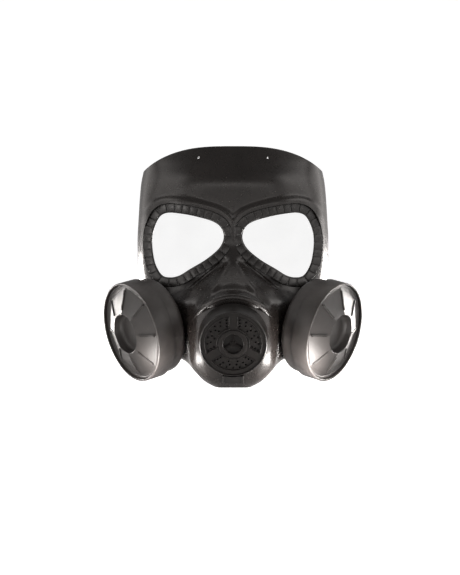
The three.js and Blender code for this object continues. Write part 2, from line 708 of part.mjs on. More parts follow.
// Flat cover with a ring in the middle and three sunk, pierced fields between the spokes
function valveCover() {
  const front = -COVER.sunk;
  const back = front - COVER.thickness;
  const rim = VALVE.radius - VALVE.lip - FIT_GAP;
  const face = [
    [0, back],
    [rim, back],
    [rim, front],
    [HUB_RING.outer, front],
    [HUB_RING.outer - HUB_RING.bevel, front + HUB_RING.raise],
    [HUB_RING.inner + HUB_RING.bevel, front + HUB_RING.raise],
    [HUB_RING.inner, front],
    [HUB_RING.inner, back + HUB_RING.floor],
    [0, back + HUB_RING.floor],
  ];
  let cover = solidOf(turned(face, SIDES.valve));
  SPOKE_ANGLES.forEach((angle) => {
    const start = angle * RADIANS;
    const end = start + 2 * Math.PI / SPOKE_ANGLES.length;
    const outline = fieldOutline(start, end);
    const lifted = (z) => outline.map((p) => p.clone().setZ(z));
    const field = skin([lifted(front - FIELD.depth), lifted(front + COVER.thickness)], {
      capPlane: (p) => [p.x, p.y],
    });
    cover = cover.subtract(solidOf(field));
    for (const place of ventPlaces(start, end)) {
      const vent = new THREE.CylinderGeometry(VENT.radius, VENT.radius, 4 * COVER.thickness, SIDES.vent);
      cover = cover.subtract(solidOf(vent.rotateX(90 * RADIANS).translate(place.x, place.y, front)));
    }
  });
  return cover;
}

// Vents of one field in staggered rows round the axis
function ventPlaces(start, end) {
  return VENT.rows.flatMap(([radius, count]) => Array.from({ length: count }, (_, i) => {
    const inset = Math.asin((COVER.spoke / 2 + VENT.margin) / radius);
    const angle = THREE.MathUtils.lerp(start + inset, end - inset, count === 1 ? 0.5 : i / (count - 1));
    return new THREE.Vector2(radius * Math.cos(angle), radius * Math.sin(angle));
  }));
}

// Three short arms in the pocket at the middle of the cover
function valveHub() {
  const bottom = -COVER.sunk - COVER.thickness + HUB_RING.floor + FIT_GAP;
  const reach = HUB_RING.inner - FIT_GAP;
  let hub = solidOf(rod(HUB.middle, bottom, bottom + HUB.height, SIDES.hub));
  for (const angle of SPOKE_ANGLES) {
    const arm = new THREE.BoxGeometry(reach - HUB.armWidth / 2, HUB.armWidth, HUB.height);
    arm.translate(reach / 2, 0, bottom + HUB.height / 2).rotateZ(-angle * RADIANS);
    hub = hub.add(solidOf(arm));
  }
  return hub;
}

// Catch under the valve: a block between two raised cheeks
function valveLatch() {
  const top = -VALVE.radius + LATCH.height / 2;
  const bottom = -VALVE.radius - FIT_GAP - LATCH.height;
  const middle = (top + bottom) / 2;
  const block = new THREE.BoxGeometry(LATCH.width - LATCH.cheek, top - bottom, LATCH.depth);
  let latch = solidOf(block.translate(0, middle, -LATCH.front - LATCH.depth / 2));
  for (const side of [-1, 1]) {
    const cheek = new THREE.BoxGeometry(LATCH.cheek, top - bottom, LATCH.depth + LATCH.cheekRaise);
    const cheekX = side * (LATCH.width - LATCH.cheek) / 2;
    const cheekZ = -LATCH.front - (LATCH.depth - LATCH.cheekRaise) / 2;
    latch = latch.add(solidOf(cheek.translate(cheekX, middle, cheekZ)));
  }
  const foot = VALVE.radius + VALVE.flare + FIT_GAP;
  const housing = solidOf(rod(foot, -VALVE.length, VALVE.length, SIDES.valve));
  return latch.subtract(housing).subtract(seatSeenFrom(valveMatrix()));
}

const parts = new THREE.Group();

function addPiece(name, shape, finish, matrix = new THREE.Matrix4()) {
  const geometry = shape instanceof THREE.BufferGeometry ? closed(shape) : geometryOf(shape);
  const mesh = new THREE.Mesh(geometry, new THREE.MeshStandardMaterial(finish));
  mesh.name = name;
  matrix.decompose(mesh.position, mesh.quaternion, mesh.scale);
  parts.add(mesh);
}

addPiece("face_shell", faceShell(), shellPlastic);
for (const [name, side] of [["left", -1], ["right", 1]]) {
  addPiece(`eye_rim_${name}`, eyeRim(side), rimRubber);
  addPiece(`lens_${name}`, lens(side), clearSheet);
  addPiece(`filter_can_${name}`, filterCan(side), canPlastic, canMatrix(side));
  addPiece(`filter_cap_${name}`, filterCap(), capPlastic, canMatrix(side));
}
addPiece("valve_housing", valveHousing(), valvePlastic, valveMatrix());
addPiece("valve_cover", valveCover(), valvePlastic, valveMatrix());
addPiece("valve_hub", valveHub(), valvePlastic, valveMatrix());
addPiece("valve_latch", valveLatch(), valvePlastic, valveMatrix());

// The origin is the middle of the outline on the surface that the mask stands on.
parts.updateMatrixWorld(true);
const bounds = new THREE.Box3().setFromObject(parts, true);
const middle = bounds.getCenter(new THREE.Vector3());
parts.position.set(-middle.x, -middle.y, -bounds.min.z);

export default parts;
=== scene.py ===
"""Gas mask style costume mask: its visible pieces, their finishes, the stage and the camera."""

import math
from contextlib import contextmanager

import bmesh
import bpy
import numpy as np
from bpy.props import FloatProperty, FloatVectorProperty, IntProperty, PointerProperty
from mathutils import Matrix, Vector
from mathutils.bvhtree import BVHTree


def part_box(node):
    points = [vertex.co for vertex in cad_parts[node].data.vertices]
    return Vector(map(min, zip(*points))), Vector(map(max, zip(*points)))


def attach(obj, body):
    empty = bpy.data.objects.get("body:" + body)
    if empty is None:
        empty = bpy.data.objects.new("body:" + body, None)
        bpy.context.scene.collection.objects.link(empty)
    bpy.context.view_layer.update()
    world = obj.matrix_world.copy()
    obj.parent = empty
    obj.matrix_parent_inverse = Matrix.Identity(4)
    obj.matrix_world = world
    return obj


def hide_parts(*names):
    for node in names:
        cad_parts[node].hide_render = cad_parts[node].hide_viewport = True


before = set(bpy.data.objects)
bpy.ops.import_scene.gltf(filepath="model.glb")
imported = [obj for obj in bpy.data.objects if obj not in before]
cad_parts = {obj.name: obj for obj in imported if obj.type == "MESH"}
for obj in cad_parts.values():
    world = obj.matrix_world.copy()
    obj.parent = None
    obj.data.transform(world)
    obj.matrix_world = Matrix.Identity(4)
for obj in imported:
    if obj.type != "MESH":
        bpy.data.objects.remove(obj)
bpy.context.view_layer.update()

bl_info = {
    "name": "Gas Mask Style Costume Mask",
    "version": (1, 0, 0),
    "blender": (4, 5, 0),
    "location": "View3D > Sidebar > Mask",
    "description": "Builds the pieces of a costume mask with their finishes, a stage and a camera",
    "category": "Add Mesh",
}

MM = 0.001
POLE = 0.0004  # radius in millimetres at which a turned piece closes in one point
SIDES = (("left", -1), ("right", 1))

# Sections of the shell from the chin up, as shares of its height, half width and depth
SECTION_ROWS = np.array([
    [0.000, -0.400, 0.145, -0.390, 0.182, -0.345, 0.198, -0.270, 0.204, -0.150, 0.204, -0.030, 0.198, 0.100],
    [0.019, -0.445, 0.200, -0.434, 0.262, -0.378, 0.276, -0.280, 0.282, -0.150, 0.282, -0.020, 0.276, 0.120],
    [0.051, -0.482, 0.246, -0.470, 0.334, -0.398, 0.358, -0.288, 0.370, -0.140, 0.370, 0.010, 0.360, 0.157],
    [0.083, -0.495, 0.280, -0.481, 0.390, -0.398, 0.425, -0.288, 0.447, -0.130, 0.453, 0.037, 0.448, 0.204],
    [0.116, -0.505, 0.306, -0.488, 0.414, -0.390, 0.448, -0.259, 0.569, -0.074, 0.696, 0.093, 0.762, 0.315],
    [0.167, -0.514, 0.342, -0.477, 0.425, -0.370, 0.453, -0.259, 0.624, -0.046, 0.785, 0.130, 0.845, 0.398],
    [0.241, -0.518, 0.350, -0.470, 0.436, -0.352, 0.475, -0.250, 0.691, -0.009, 0.862, 0.176, 0.922, 0.454],
    [0.333, -0.500, 0.309, -0.426, 0.420, -0.306, 0.497, -0.204, 0.762, 0.018, 0.917, 0.204, 0.967, 0.472],
    [0.398, -0.426, 0.210, -0.375, 0.398, -0.185, 0.453, -0.106, 0.796, 0.046, 0.950, 0.222, 0.989, 0.481],
    [0.463, -0.278, 0.088, -0.250, 0.226, -0.148, 0.265, -0.102, 0.862, 0.083, 0.972, 0.241, 0.994, 0.481],
    [0.519, -0.160, 0.044, -0.148, 0.105, -0.111, 0.276, -0.098, 0.884, 0.088, 0.980, 0.241, 1.000, 0.481],
    [0.593, -0.116, 0.276, -0.102, 0.519, -0.065, 0.740, 0.005, 0.895, 0.088, 0.983, 0.241, 1.000, 0.481],
    [0.685, -0.110, 0.276, -0.095, 0.519, -0.065, 0.740, 0.005, 0.890, 0.088, 0.972, 0.241, 0.989, 0.481],
    [0.769, -0.122, 0.276, -0.112, 0.519, -0.078, 0.729, 0.002, 0.884, 0.106, 0.961, 0.259, 0.978, 0.472],
    [0.843, -0.140, 0.276, -0.127, 0.519, -0.080, 0.729, 0.009, 0.867, 0.125, 0.945, 0.269, 0.961, 0.454],
    [0.926, -0.090, 0.265, -0.080, 0.497, -0.037, 0.696, 0.042, 0.829, 0.139, 0.906, 0.278, 0.917, 0.407],
    [1.040, 0.020, 0.265, 0.028, 0.486, 0.069, 0.663, 0.130, 0.796, 0.222, 0.873, 0.324, 0.884, 0.398],
])
REAR_SHARE = 0.481

# Outline of an eye window, from its upper outer corner round by the nose: across, up
WINDOW_OUTLINE = np.array([
    [0.78, 1.00], [0.57, 0.985], [0.36, 0.94], [0.14, 0.865], [0.047, 0.79], [0.00, 0.64], [0.047, 0.487],
    [0.222, 0.305], [0.465, 0.137], [0.628, 0.027], [0.739, 0.00], [0.85, 0.022], [0.946, 0.174],
    [0.992, 0.386], [1.00, 0.602], [0.965, 0.784], [0.878, 0.953],
])

# Thin raised lines in the front view, right side, in millimetres: across, up
CREASE_PATH = np.array([
    [8.6, 111.6], [16.0, 105.4], [24.0, 98.8], [32.0, 92.2], [40.2, 85.9], [42.4, 86.4],
])
BROW_LINE = np.array([
    [-15.5, 161.5], [-8.2, 157.0], [-3.4, 152.2], [0.0, 147.6], [1.4, 143.4], [1.55, 138.0], [1.5, 128.0],
])

# Ridge down the nose, its upper and its lower end
NOSE_RIDGE = ((1.5, 112.0), (24.5, 77.0))

# The brow band: shares of the window outline where it starts and ends, and where its edge lies past the rim
BAND_START, BAND_END = 0.86, 0.335
BAND_EDGE = (3.6, 8.4)

# How near the middle the pieces round a window may come, so that the bridge stays closed
BRIDGE_CUT, BRIDGE_RIM, BRIDGE_LENS = 0.0022, 0.0012, 0.0019

# Radii of what is cut through the wall and the valve's cover, in millimetres
STRAP_HOLE, CAN_PORT, VALVE_BORE, VENT_HOLE = 0.95, 14.3, 22, 0.95

# Spokes of the valve's cover in degrees, and its rows of vents between two spokes: radius, vents
SPOKE_ANGLES = (90, 210, 330)
VENT_ROWS = ((16.9, 4), (19.7, 6), (22.5, 7))

# Lamps: name, place, where they aim, width and height, power
LAMP_AIM = (0, 0.0116, 0.1)
MIDDLE_LAMPS = (
    ("top", (0, 0.3, 1.1), LAMP_AIM, (1.0, 0.6), 2.0),
    ("front", (0, -1.5, 0.12), LAMP_AIM, (1.6, 0.26), 2.3),
)
# The same on both sides: the place and the aim are mirrored, and the powers are the left and the right one
SIDE_LAMPS = (
    ("side", (0.75, -0.38, 0.42), LAMP_AIM, (0.7, 0.5), 1.7, 2.2),
    ("cheek", (0.5, 0.08, 0.08), LAMP_AIM, (0.5, 0.16), 0.12, 0.25),
    ("front_low", (0.42, -0.36, 0.07), LAMP_AIM, (0.2, 0.12), 0.3, 0.1),
    ("chin", (0.078, -0.056, 0.010), (0.036, -0.036, 0.024), (0.05, 0.02), 0.11, 0.2),
    ("heel", (0.27, 0.22, 0.05), (0.12, 0.0116, 0.03), (0.16, 0.08), 1.6, 2.4),
    ("brow", (0.32, -0.008, 0.62), (0.06, 0.0116, 0.15), (0.25, 0.25), 0.2, 0.28),
    ("temple", (0.62, 0.25, 0.22), (0.07, 0.0116, 0.17), (0.5, 0.4), 0.7, 0.95),
    ("back", (0.65, 0.7, 0.35), LAMP_AIM, (0.6, 0.7), 0.1, 0.4),
)


def length(name, description, default):
    return FloatProperty(name=name, description=description, default=default, subtype="DISTANCE", unit="LENGTH")


def angle(name, description, degrees):
    return FloatProperty(
        name=name, description=description, default=math.radians(degrees), subtype="ANGLE", unit="ROTATION"
    )


def colour(name, description, default):
    return FloatVectorProperty(
        name=name, description=description, default=default, size=3, min=0.0, max=1.0, subtype="COLOR"
    )


class ShellSizes(bpy.types.PropertyGroup):
    """Sizes of the face shell"""

    height: length("Height", "Chin flat to the top of the forehead", 0.216)
    half_width: length("Half width", "Middle of the face to a temple", 0.0905)
    depth: length("Depth", "Nose to the rear edge, without the valve", 0.108)
    wall: length("Wall", "Thickness of the moulded wall", 0.002)
    brow_height: length("Brow height", "How far the brow bands stand up", 0.0020)
    crease_height: length("Crease height", "How far the nose creases stand up", 0.0011)
    ridge_height: length("Ridge height", "How far the two soft ridges down the nose stand up", 0.0012)
    columns: IntProperty(name="Columns", description="Faces from one temple to the other", default=232)
    rows: IntProperty(name="Rows", description="Faces from the chin to the forehead", default=160)


class WindowSizes(bpy.types.PropertyGroup):
    """Sizes of the eye windows and their ribbed rims"""

    inner_x: length("Inner edge", "Middle of the face to a window", 0.0085)
    width: length("Width", "Width of a window", 0.0662)
    bottom: length("Bottom", "Height of a window's lower edge", 0.0957)
    height: length("Height", "Height of a window", 0.0593)
    sweep: length("Sweep", "How far a window runs back at the temple", 0.020)
    rim_width: length("Rim width", "Width of the ribbed rim", 0.0084)
    rim_proud: length("Rim height", "How far the ribs stand out of the window surface", 0.0014)
    ribs: IntProperty(name="Ribs", description="Ribs round one window", default=30, min=8, max=60)
    sheet: length("Sheet", "Thickness of the clear sheet", 0.0012)


class ValveSizes(bpy.types.PropertyGroup):
    """Sizes and place of the breathing valve"""

    y: length("Forward", "Place of the valve's middle before the lenses", -0.068)
    z: length("Up", "Height of the valve's middle", 0.0415)
    tilt: angle("Tilt", "How far the valve looks down", 14)
    radius: length("Radius", "Outer radius at the front", 0.0299)
    back_radius: length("Back radius", "Outer radius at the muzzle", 0.031)
    collar: length("Collar radius", "Radius of the collar behind the valve", 0.0385)


class CanSizes(bpy.types.PropertyGroup):
    """Sizes and place of the filter cans"""

    x: length("Across", "Middle of the face to the middle of a cap", 0.093)
    y: length("Forward", "Place of a cap's middle behind the lenses", -0.020)
    z: length("Up", "Height of a cap's middle", 0.047)
    radius: length("Radius", "Outer radius of a can", 0.0459)
    depth: length("Length", "Length of the drum", 0.032)
    turn: angle("Turn", "How far a can looks to its side", 54)
    tilt: angle("Tilt", "How far a can looks down", 11)


class FinishColours(bpy.types.PropertyGroup):
    """Colours of the mouldings"""

    shell: colour("Shell", "Plastic of the face shell", (0.0112, 0.0092, 0.0083))
    rim: colour("Rims", "Plastic of the ribbed rims", (0.0084, 0.0070, 0.0064))
    # Lighter than the shell's plastic: painted light that stands in for the light falling on the drum sides.
    can: colour("Cans", "Plastic of the filter cans", (0.026, 0.0225, 0.021))
    cap: colour("Caps", "Plastic of the filter caps", (0.020, 0.0178, 0.0168))
    valve: colour("Valve", "Plastic of the valve", (0.0068, 0.0057, 0.0051))
    # Darker than the valve's plastic: painted shade of the cover's sunk middle, where the hub sits.
    hub: colour("Hub", "Plastic of the valve's hub", (0.0040, 0.0034, 0.0031))
    sheet: colour("Clear sheet", "Tint of the window sheets", (0.94, 0.94, 0.94))


class StageSettings(bpy.types.PropertyGroup):
    """Camera, floor and light"""

    floor: colour("Floor", "Pale floor and backdrop", (0.6, 0.6, 0.6))
    glow: FloatProperty(name="Floor glow", description="How brightly the floor shows by itself", default=0.87)
    distance: length("Distance", "Camera to the middle of the mask", 1.2)
    elevation: angle("Elevation", "How far the camera stands above the mask's middle", 4)
    aim_x: length("Aim across", "Where the camera aims, across", -0.00276)
    aim_z: length("Aim up", "Where the camera aims, up", 0.0865)
    focal_length: FloatProperty(name="Focal length", description="Lens of the camera", default=81.66, unit="CAMERA")
    light_tint: colour("Light tint", "Colour of the lamps", (1.0, 0.955, 0.925))
    bounce: FloatProperty(name="Floor bounce", description="How brightly the floor lights the mask", default=0.2)
    surround: FloatProperty(name="Surround", description="Strength of the soft surround", default=0.2)


def lens_plane(shell):
    """Depth of the lens plane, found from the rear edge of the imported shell."""
    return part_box("face_shell")[1].y - REAR_SHARE * shell.depth


# The form of the shell


def table_at(heights):
    """Section table at any heights, smooth and never passing beyond the rows next to them."""
    rows, table = SECTION_ROWS[:, 0], SECTION_ROWS[:, 1:]
    rise = np.diff(table, axis=0) / np.diff(rows)[:, None]
    product = rise[:-1] * rise[1:]
    total = rise[:-1] + rise[1:]
    inner = np.where(product > 0, 2 * product / np.where(total == 0, 1, total), 0.0)
    slope = np.vstack([rise[:1], inner, rise[-1:]])
    i = np.clip(np.searchsorted(rows, heights, side="right") - 1, 0, len(rows) - 2)
    span = (rows[i + 1] - rows[i])[..., None]
    t = (heights[..., None] - rows[i][..., None]) / span
    return (
        (1 + 2 * t) * (1 - t) ** 2 * table[i]
        + t * (1 - t) ** 2 * span * slope[i]
        + t * t * (3 - 2 * t) * table[i + 1]
        + t * t * (t - 1) * span * slope[i + 1]
    )


def along_curve(points, t):
    """Point at share t of an open centripetal curve through points, one curve for each t."""
    ends = [2 * points[..., :1, :] - points[..., 1:2, :], 2 * points[..., -1:, :] - points[..., -2:-1, :]]
    points = np.concatenate([ends[0], points, ends[1]], axis=-2)
    segments = points.shape[-2] - 3
    part = np.clip(np.floor(t * segments), 0, segments - 1).astype(int)
    t = (t * segments - part)[..., None]
    p = [np.take_along_axis(points, (part + k)[..., None, None], axis=-2)[..., 0, :] for k in range(4)]
    gap = [np.maximum(np.linalg.norm(p[k + 1] - p[k], axis=-1, keepdims=True), 1e-6) ** 0.5 for k in range(3)]
    leave = (p[1] - p[0]) / gap[0] - (p[2] - p[0]) / (gap[0] + gap[1]) + (p[2] - p[1]) / gap[1]
    reach = (p[2] - p[1]) / gap[1] - (p[3] - p[1]) / (gap[1] + gap[2]) + (p[3] - p[2]) / gap[2]
    leave, reach = leave * gap[1], reach * gap[1]
    bend = -3 * p[1] + 3 * p[2] - 2 * leave - reach
    close = 2 * p[1] - 2 * p[2] + leave + reach
    return p[1] + leave * t + bend * t ** 2 + close * t ** 3


def shell_point(shell, t, h):
    """Outside of the shell at share t from left to right and share h of its height."""
    row = table_at(h)
    half = row[..., 1:].reshape(row.shape[:-1] + (6, 2)) * [shell.half_width, shell.depth]
    middle = np.stack([np.zeros_like(h), row[..., 0] * shell.depth], axis=-1)[..., None, :]
    left = half[..., ::-1, :] * [-1, 1]
    flat = along_curve(np.concatenate([left, middle, half], axis=-2), t)
    return np.stack([flat[..., 0], flat[..., 1], h * shell.height], axis=-1)


def edge_height(shell, x, y):
    """Height of the shell's upper edge: it falls to the temples and turns down in a round corner."""
    forehead = shell.height * (1 - 0.13 * (np.abs(x) / shell.half_width) ** 3)
    corner = 0.111 * shell.height
    back = np.clip(y - 0.25 * shell.depth, 0, corner)
    temple = shell.height * 0.915 - corner + np.sqrt(corner ** 2 - back ** 2)
    return np.where(y > 0.25 * shell.depth, np.minimum(forehead, temple), forehead)


def shell_grid(shell):
    """Rows and columns of points on the outside, from the chin to the upper edge."""
    spans = shell_point(shell, np.linspace(0, 1, 13)[None], np.linspace(0.1, 0.95, 18)[:, None] * np.ones((1, 13)))
    weight = np.linalg.norm(np.diff(spans, axis=1), axis=-1).mean(axis=0)
    t = np.interp(
        np.linspace(0, 1, shell.columns + 1), np.concatenate([[0], np.cumsum(weight) / weight.sum()]),
        np.linspace(0, 1, 13),
    )
    heights = np.linspace(0.6, 1.03, 400)
    probe = shell_point(shell, np.broadcast_to(t, (400, len(t))), np.broadcast_to(heights[:, None], (400, len(t))))
    over = probe[..., 2] - edge_height(shell, probe[..., 0], probe[..., 1])
    first = np.argmax(over > 0, axis=0)
    columns = np.arange(len(t))
    below, above = over[first - 1, columns], over[first, columns]
    top = heights[first - 1] + (heights[first] - heights[first - 1]) * below / (below - above)
    h = np.linspace(0, 1, shell.rows + 1)[:, None] * top[None]
    return shell_point(shell, np.broadcast_to(t, h.shape), h)


def eased(grid, rounds):
    """The same grid with its inner points drawn toward their neighbours."""
    grid = grid.copy()
    for _ in range(rounds):
        across = (grid[:, :-2] + grid[:, 2:]) / 2
        grid[:, 1:-1] += 0.5 * (across - grid[:, 1:-1])
        upright = (grid[:-2] + grid[2:]) / 2
        grid[1:-1] += 0.5 * (upright - grid[1:-1])
    return grid


def outward(grid):
    """Unit normals of a grid that runs from left to right and from the chin up."""
    normal = np.cross(np.gradient(grid, axis=1), np.gradient(grid, axis=0))
    return normal / np.linalg.norm(normal, axis=-1, keepdims=True)


def smooth_step(low, high, value):
    """Rises smoothly from nothing at low to one at high."""
    t = np.clip((value - low) / (high - low), 0, 1)
    return t * t * (3 - 2 * t)


def bell(distance, width):
    """One at no distance, and falling off smoothly over a width."""
    return np.exp(-((distance / width) ** 2))


def fade(run, start, full, falling, end):
    """Rises from nothing at start to one at full, and falls from falling to nothing at end."""
    return smooth_step(start, full, run) * (1 - smooth_step(falling, end, run))


def beside_line(grid, start, end):
    """Share of each point along a line of the front view, and how far beside the line it lies."""
    start, end = np.array(start) * MM, np.array(end) * MM
    reach = np.linalg.norm(end - start)
    along = (end - start) / reach
    offset = np.stack([np.abs(grid[..., 0]), grid[..., 2]], axis=-1) - start
    return offset @ along / reach, offset @ np.array([-along[1], along[0]])


# The eye windows


def window_curve(window, samples=720):
    """Even points of a right window's outline in the front view, with their outward directions."""
    corners = np.column_stack([
        window.inner_x + WINDOW_OUTLINE[:, 0] * window.width,
        window.bottom + WINDOW_OUTLINE[:, 1] * window.height,
    ])
    count = len(corners)
    wrapped = np.vstack([corners[-1:], corners, corners[:2]])
    t = (np.arange(count * 60) / 60 + 1) / (count + 2)
    dense = along_curve(np.broadcast_to(wrapped, (len(t),) + wrapped.shape), t)
    dense = np.vstack([dense, dense[:1]])
    run = np.concatenate([[0], np.cumsum(np.linalg.norm(np.diff(dense, axis=0), axis=1))])
    even = np.linspace(0, run[-1], samples, endpoint=False)
    points = np.column_stack([np.interp(even, run, dense[:, 0]), np.interp(even, run, dense[:, 1])])
    along = np.roll(points, -1, axis=0) - np.roll(points, 1, axis=0)
    along /= np.linalg.norm(along, axis=1, keepdims=True)
    return points, np.column_stack([along[:, 1], -along[:, 0]])


def window_point(window, share, outwards, keep_x=0.0):
    """Point of a right window's outline moved outwards in the front view: x and z."""
    points, out = window_curve(window)
    at = np.mod(share, 1) * len(points)
    low = np.floor(at).astype(int) % len(points)
    part = (at - np.floor(at))[..., None]
    high = (low + 1) % len(points)
    place = points[low] * (1 - part) + points[high] * part
    facing = out[low] * (1 - part) + out[high] * part
    place = place + facing * np.asarray(outwards)[..., None]
    return np.maximum(place[..., 0], keep_x), place[..., 1]


def window_y(window, shell, x):
    """Depth of the window surface, swept back toward the temples."""
    reach = window.inner_x + window.width
    return -0.111 * shell.depth + window.sweep * (np.abs(x) / reach) ** 2.4


def window_distance(window, x, z):
    """Distance of places of the front view from the window outline, and their share round it."""
    points, _ = window_curve(window, 360)
    flat = np.stack([np.abs(x), z], axis=-1).reshape(-1, 2)
    gap = np.linalg.norm(flat[:, None] - points[None], axis=2)
    nearest = gap.argmin(axis=1)
    return gap.min(axis=1).reshape(x.shape), (nearest / len(points)).reshape(x.shape)


# Modelling


def start_clean():
    """Nothing is selected and nothing is in edit mode."""
    if bpy.context.mode != "OBJECT":
        bpy.ops.object.mode_set(mode="OBJECT")
    bpy.ops.object.select_all(action="DESELECT")


def make_active(piece):
    start_clean()
    piece.select_set(True)
    bpy.context.view_layer.objects.active = piece


@contextmanager
def editing():
    """Edit mode with everything selected, and object mode again afterwards."""
    bpy.ops.object.mode_set(mode="EDIT")
    bpy.ops.mesh.select_all(action="SELECT")
    yield
    bpy.ops.object.mode_set(mode="OBJECT")


def new_mesh_piece(name, vertices, faces):
    mesh = bpy.data.meshes.new(name)
    mesh.from_pydata([tuple(v) for v in vertices], [], faces)
    mesh.update()
    piece = bpy.data.objects.new(name, mesh)
    bpy.context.scene.collection.objects.link(piece)
    make_active(piece)
    return piece


def face_out(piece):
    """Turns a closed piece whose faces point inwards."""
    solid = bmesh.new()
    solid.from_mesh(piece.data)
    inside_out = solid.calc_volume(signed=True) < 0
    solid.free()
    if inside_out:
        piece.data.flip_normals()
    piece.data.update()
    return piece


def turned(name, profile, sides, fill=True):
    """A circle drawn out ring by ring about +Z, in millimetres; a profile that ends at its start closes."""
    start_clean()
    profile = [(a * MM, b * MM) for a, b in profile]
    radius, height = profile[0]
    bpy.ops.mesh.primitive_circle_add(vertices=sides, radius=radius, fill_type="NOTHING")
    piece = bpy.context.object
    piece.name = name
    with editing():
        bpy.ops.transform.translate(value=(0, 0, height))
        for next_radius, next_height in profile[1:]:
            bpy.ops.mesh.extrude_edges_move(TRANSFORM_OT_translate={"value": (0, 0, next_height - height)})
            scale = next_radius / radius
            bpy.ops.transform.resize(value=(scale, scale, 1), center_override=(0, 0, next_height))
            radius, height = next_radius, next_height
        bpy.ops.mesh.select_all(action="SELECT")
        bpy.ops.mesh.remove_doubles(threshold=1e-6)
        if fill:
            bpy.ops.mesh.fill_holes(sides=0)
        bpy.ops.mesh.select_all(action="SELECT")
        bpy.ops.mesh.normals_make_consistent(inside=False)
    return face_out(piece)


def prism(name, front, back):
    """Closed solid between two outlines of equal length."""
    count = len(front)
    faces = [(i, (i + 1) % count, count + (i + 1) % count, count + i) for i in range(count)]
    faces += [tuple(range(count))[::-1], tuple(range(count, 2 * count))]
    return face_out(new_mesh_piece(name, list(front) + list(back), faces))


def block(name, size, centre, bevel, segments=3):
    """A block with its edges rounded in edit mode."""
    start_clean()
    bpy.ops.mesh.primitive_cube_add(size=1)
    piece = bpy.context.object
    piece.name = name
    with editing():
        bpy.ops.transform.resize(value=size)
        bpy.ops.transform.translate(value=centre)
        bpy.ops.mesh.bevel(offset=bevel, segments=segments, affect="EDGES")
    return piece


def tube(name, points, thick, taper=None, closed=False, resolution=3):
    """A round bead along points, thinner where its taper is small, or a ring of even thickness."""
    curve = bpy.data.curves.new(name, "CURVE")
    curve.dimensions = "3D"
    curve.bevel_depth = thick
    curve.bevel_resolution = resolution
    curve.use_fill_caps = not closed
    spline = curve.splines.new("POLY")
    spline.points.add(len(points) - 1)
    spline.use_cyclic_u = closed
    for target, point, share in zip(spline.points, points, np.ones(len(points)) if taper is None else taper):
        target.co = (*point, 1)
        target.radius = share
    bead = bpy.data.objects.new(name, curve)
    bpy.context.scene.collection.objects.link(bead)
    make_active(bead)
    bpy.ops.object.convert(target="MESH")
    return face_out(bpy.context.object)


def joined(name, pieces):
    make_active(pieces[0])
    for piece in pieces[1:]:
        piece.select_set(True)
    bpy.ops.object.join()
    pieces[0].name = name
    return pieces[0]


def copy_of(piece, matrix):
    twin = piece.copy()
    twin.data = piece.data.copy()
    twin.data.transform(matrix)
    bpy.context.scene.collection.objects.link(twin)
    return twin


def apply_modifier(piece, kind, **settings):
    make_active(piece)
    modifier = piece.modifiers.new(kind.title(), kind)
    for key, value in settings.items():
        setattr(modifier, key, value)
    bpy.ops.object.modifier_apply(modifier=modifier.name)


def soften_edges(piece, width, segments=2, degrees=35):
    apply_modifier(
        piece, "BEVEL", width=width, segments=segments, limit_method="ANGLE",
        angle_limit=math.radians(degrees), harden_normals=False, miter_outer="MITER_ARC",
    )


def cut(piece, cutter):
    apply_modifier(piece, "BOOLEAN", operation="DIFFERENCE", solver="EXACT", object=cutter)
    bpy.data.objects.remove(cutter)


def place(piece, matrix):
    """Moves a piece's mesh, so that its object stays at the origin."""
    piece.data.transform(matrix)
    if matrix.determinant() < 0:
        piece.data.flip_normals()
    piece.data.update()


def finish_piece(piece, material, nodes, degrees=32):
    """Shades a piece, gives it its finish and sets it on the body in place of its CAD nodes."""
    make_active(piece)
    bpy.ops.object.shade_smooth_by_angle(angle=math.radians(degrees))
    piece.data.materials.clear()
    piece.data.materials.append(material)
    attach(piece, "root")
    if nodes:
        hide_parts(*nodes)


# Finishes


class Finish:
    """A material under construction: adds nodes and links them."""

    def __init__(self, name):
        self.material = bpy.data.materials.new(name)
        self.material.use_nodes = True
        self.tree = self.material.node_tree
        self.tree.nodes.clear()
        self.output = self.tree.nodes.new("ShaderNodeOutputMaterial")

    def add(self, kind, values=None, **settings):
        node = self.tree.nodes.new(kind)
        for key, value in settings.items():
            setattr(node, key, value)
        for key, value in (values or {}).items():
            if isinstance(value, bpy.types.NodeSocket):
                self.tree.links.new(value, node.inputs[key])
            else:
                node.inputs[key].default_value = value
        return node

    def noise(self, place, scale, detail, roughness=0.5):
        node = self.add(
            "ShaderNodeTexNoise",
            {"Vector": place, "Scale": scale, "Detail": detail, "Roughness": roughness},
        )
        return node.outputs["Fac"]

    def spread(self, value, low, high, to_low, to_high):
        node = self.add(
            "ShaderNodeMapRange",
            {"Value": value, "From Min": low, "From Max": high, "To Min": to_low, "To Max": to_high},
        )
        return node.outputs["Result"]

    def between(self, share, first, second):
        node = self.add("ShaderNodeMix", data_type="RGBA")
        self.tree.links.new(share, node.inputs[0])
        node.inputs[6].default_value = (*first, 1)
        node.inputs[7].default_value = (*second, 1)
        return node.outputs[2]

    def bump(self, height, strength, distance, normal=None):
        values = {"Height": height, "Strength": strength, "Distance": distance}
        if normal is not None:
            values["Normal"] = normal
        return self.add("ShaderNodeBump", values).outputs["Normal"]

    def done(self, shader):
        self.tree.links.new(shader, self.output.inputs["Surface"])
        return self.material


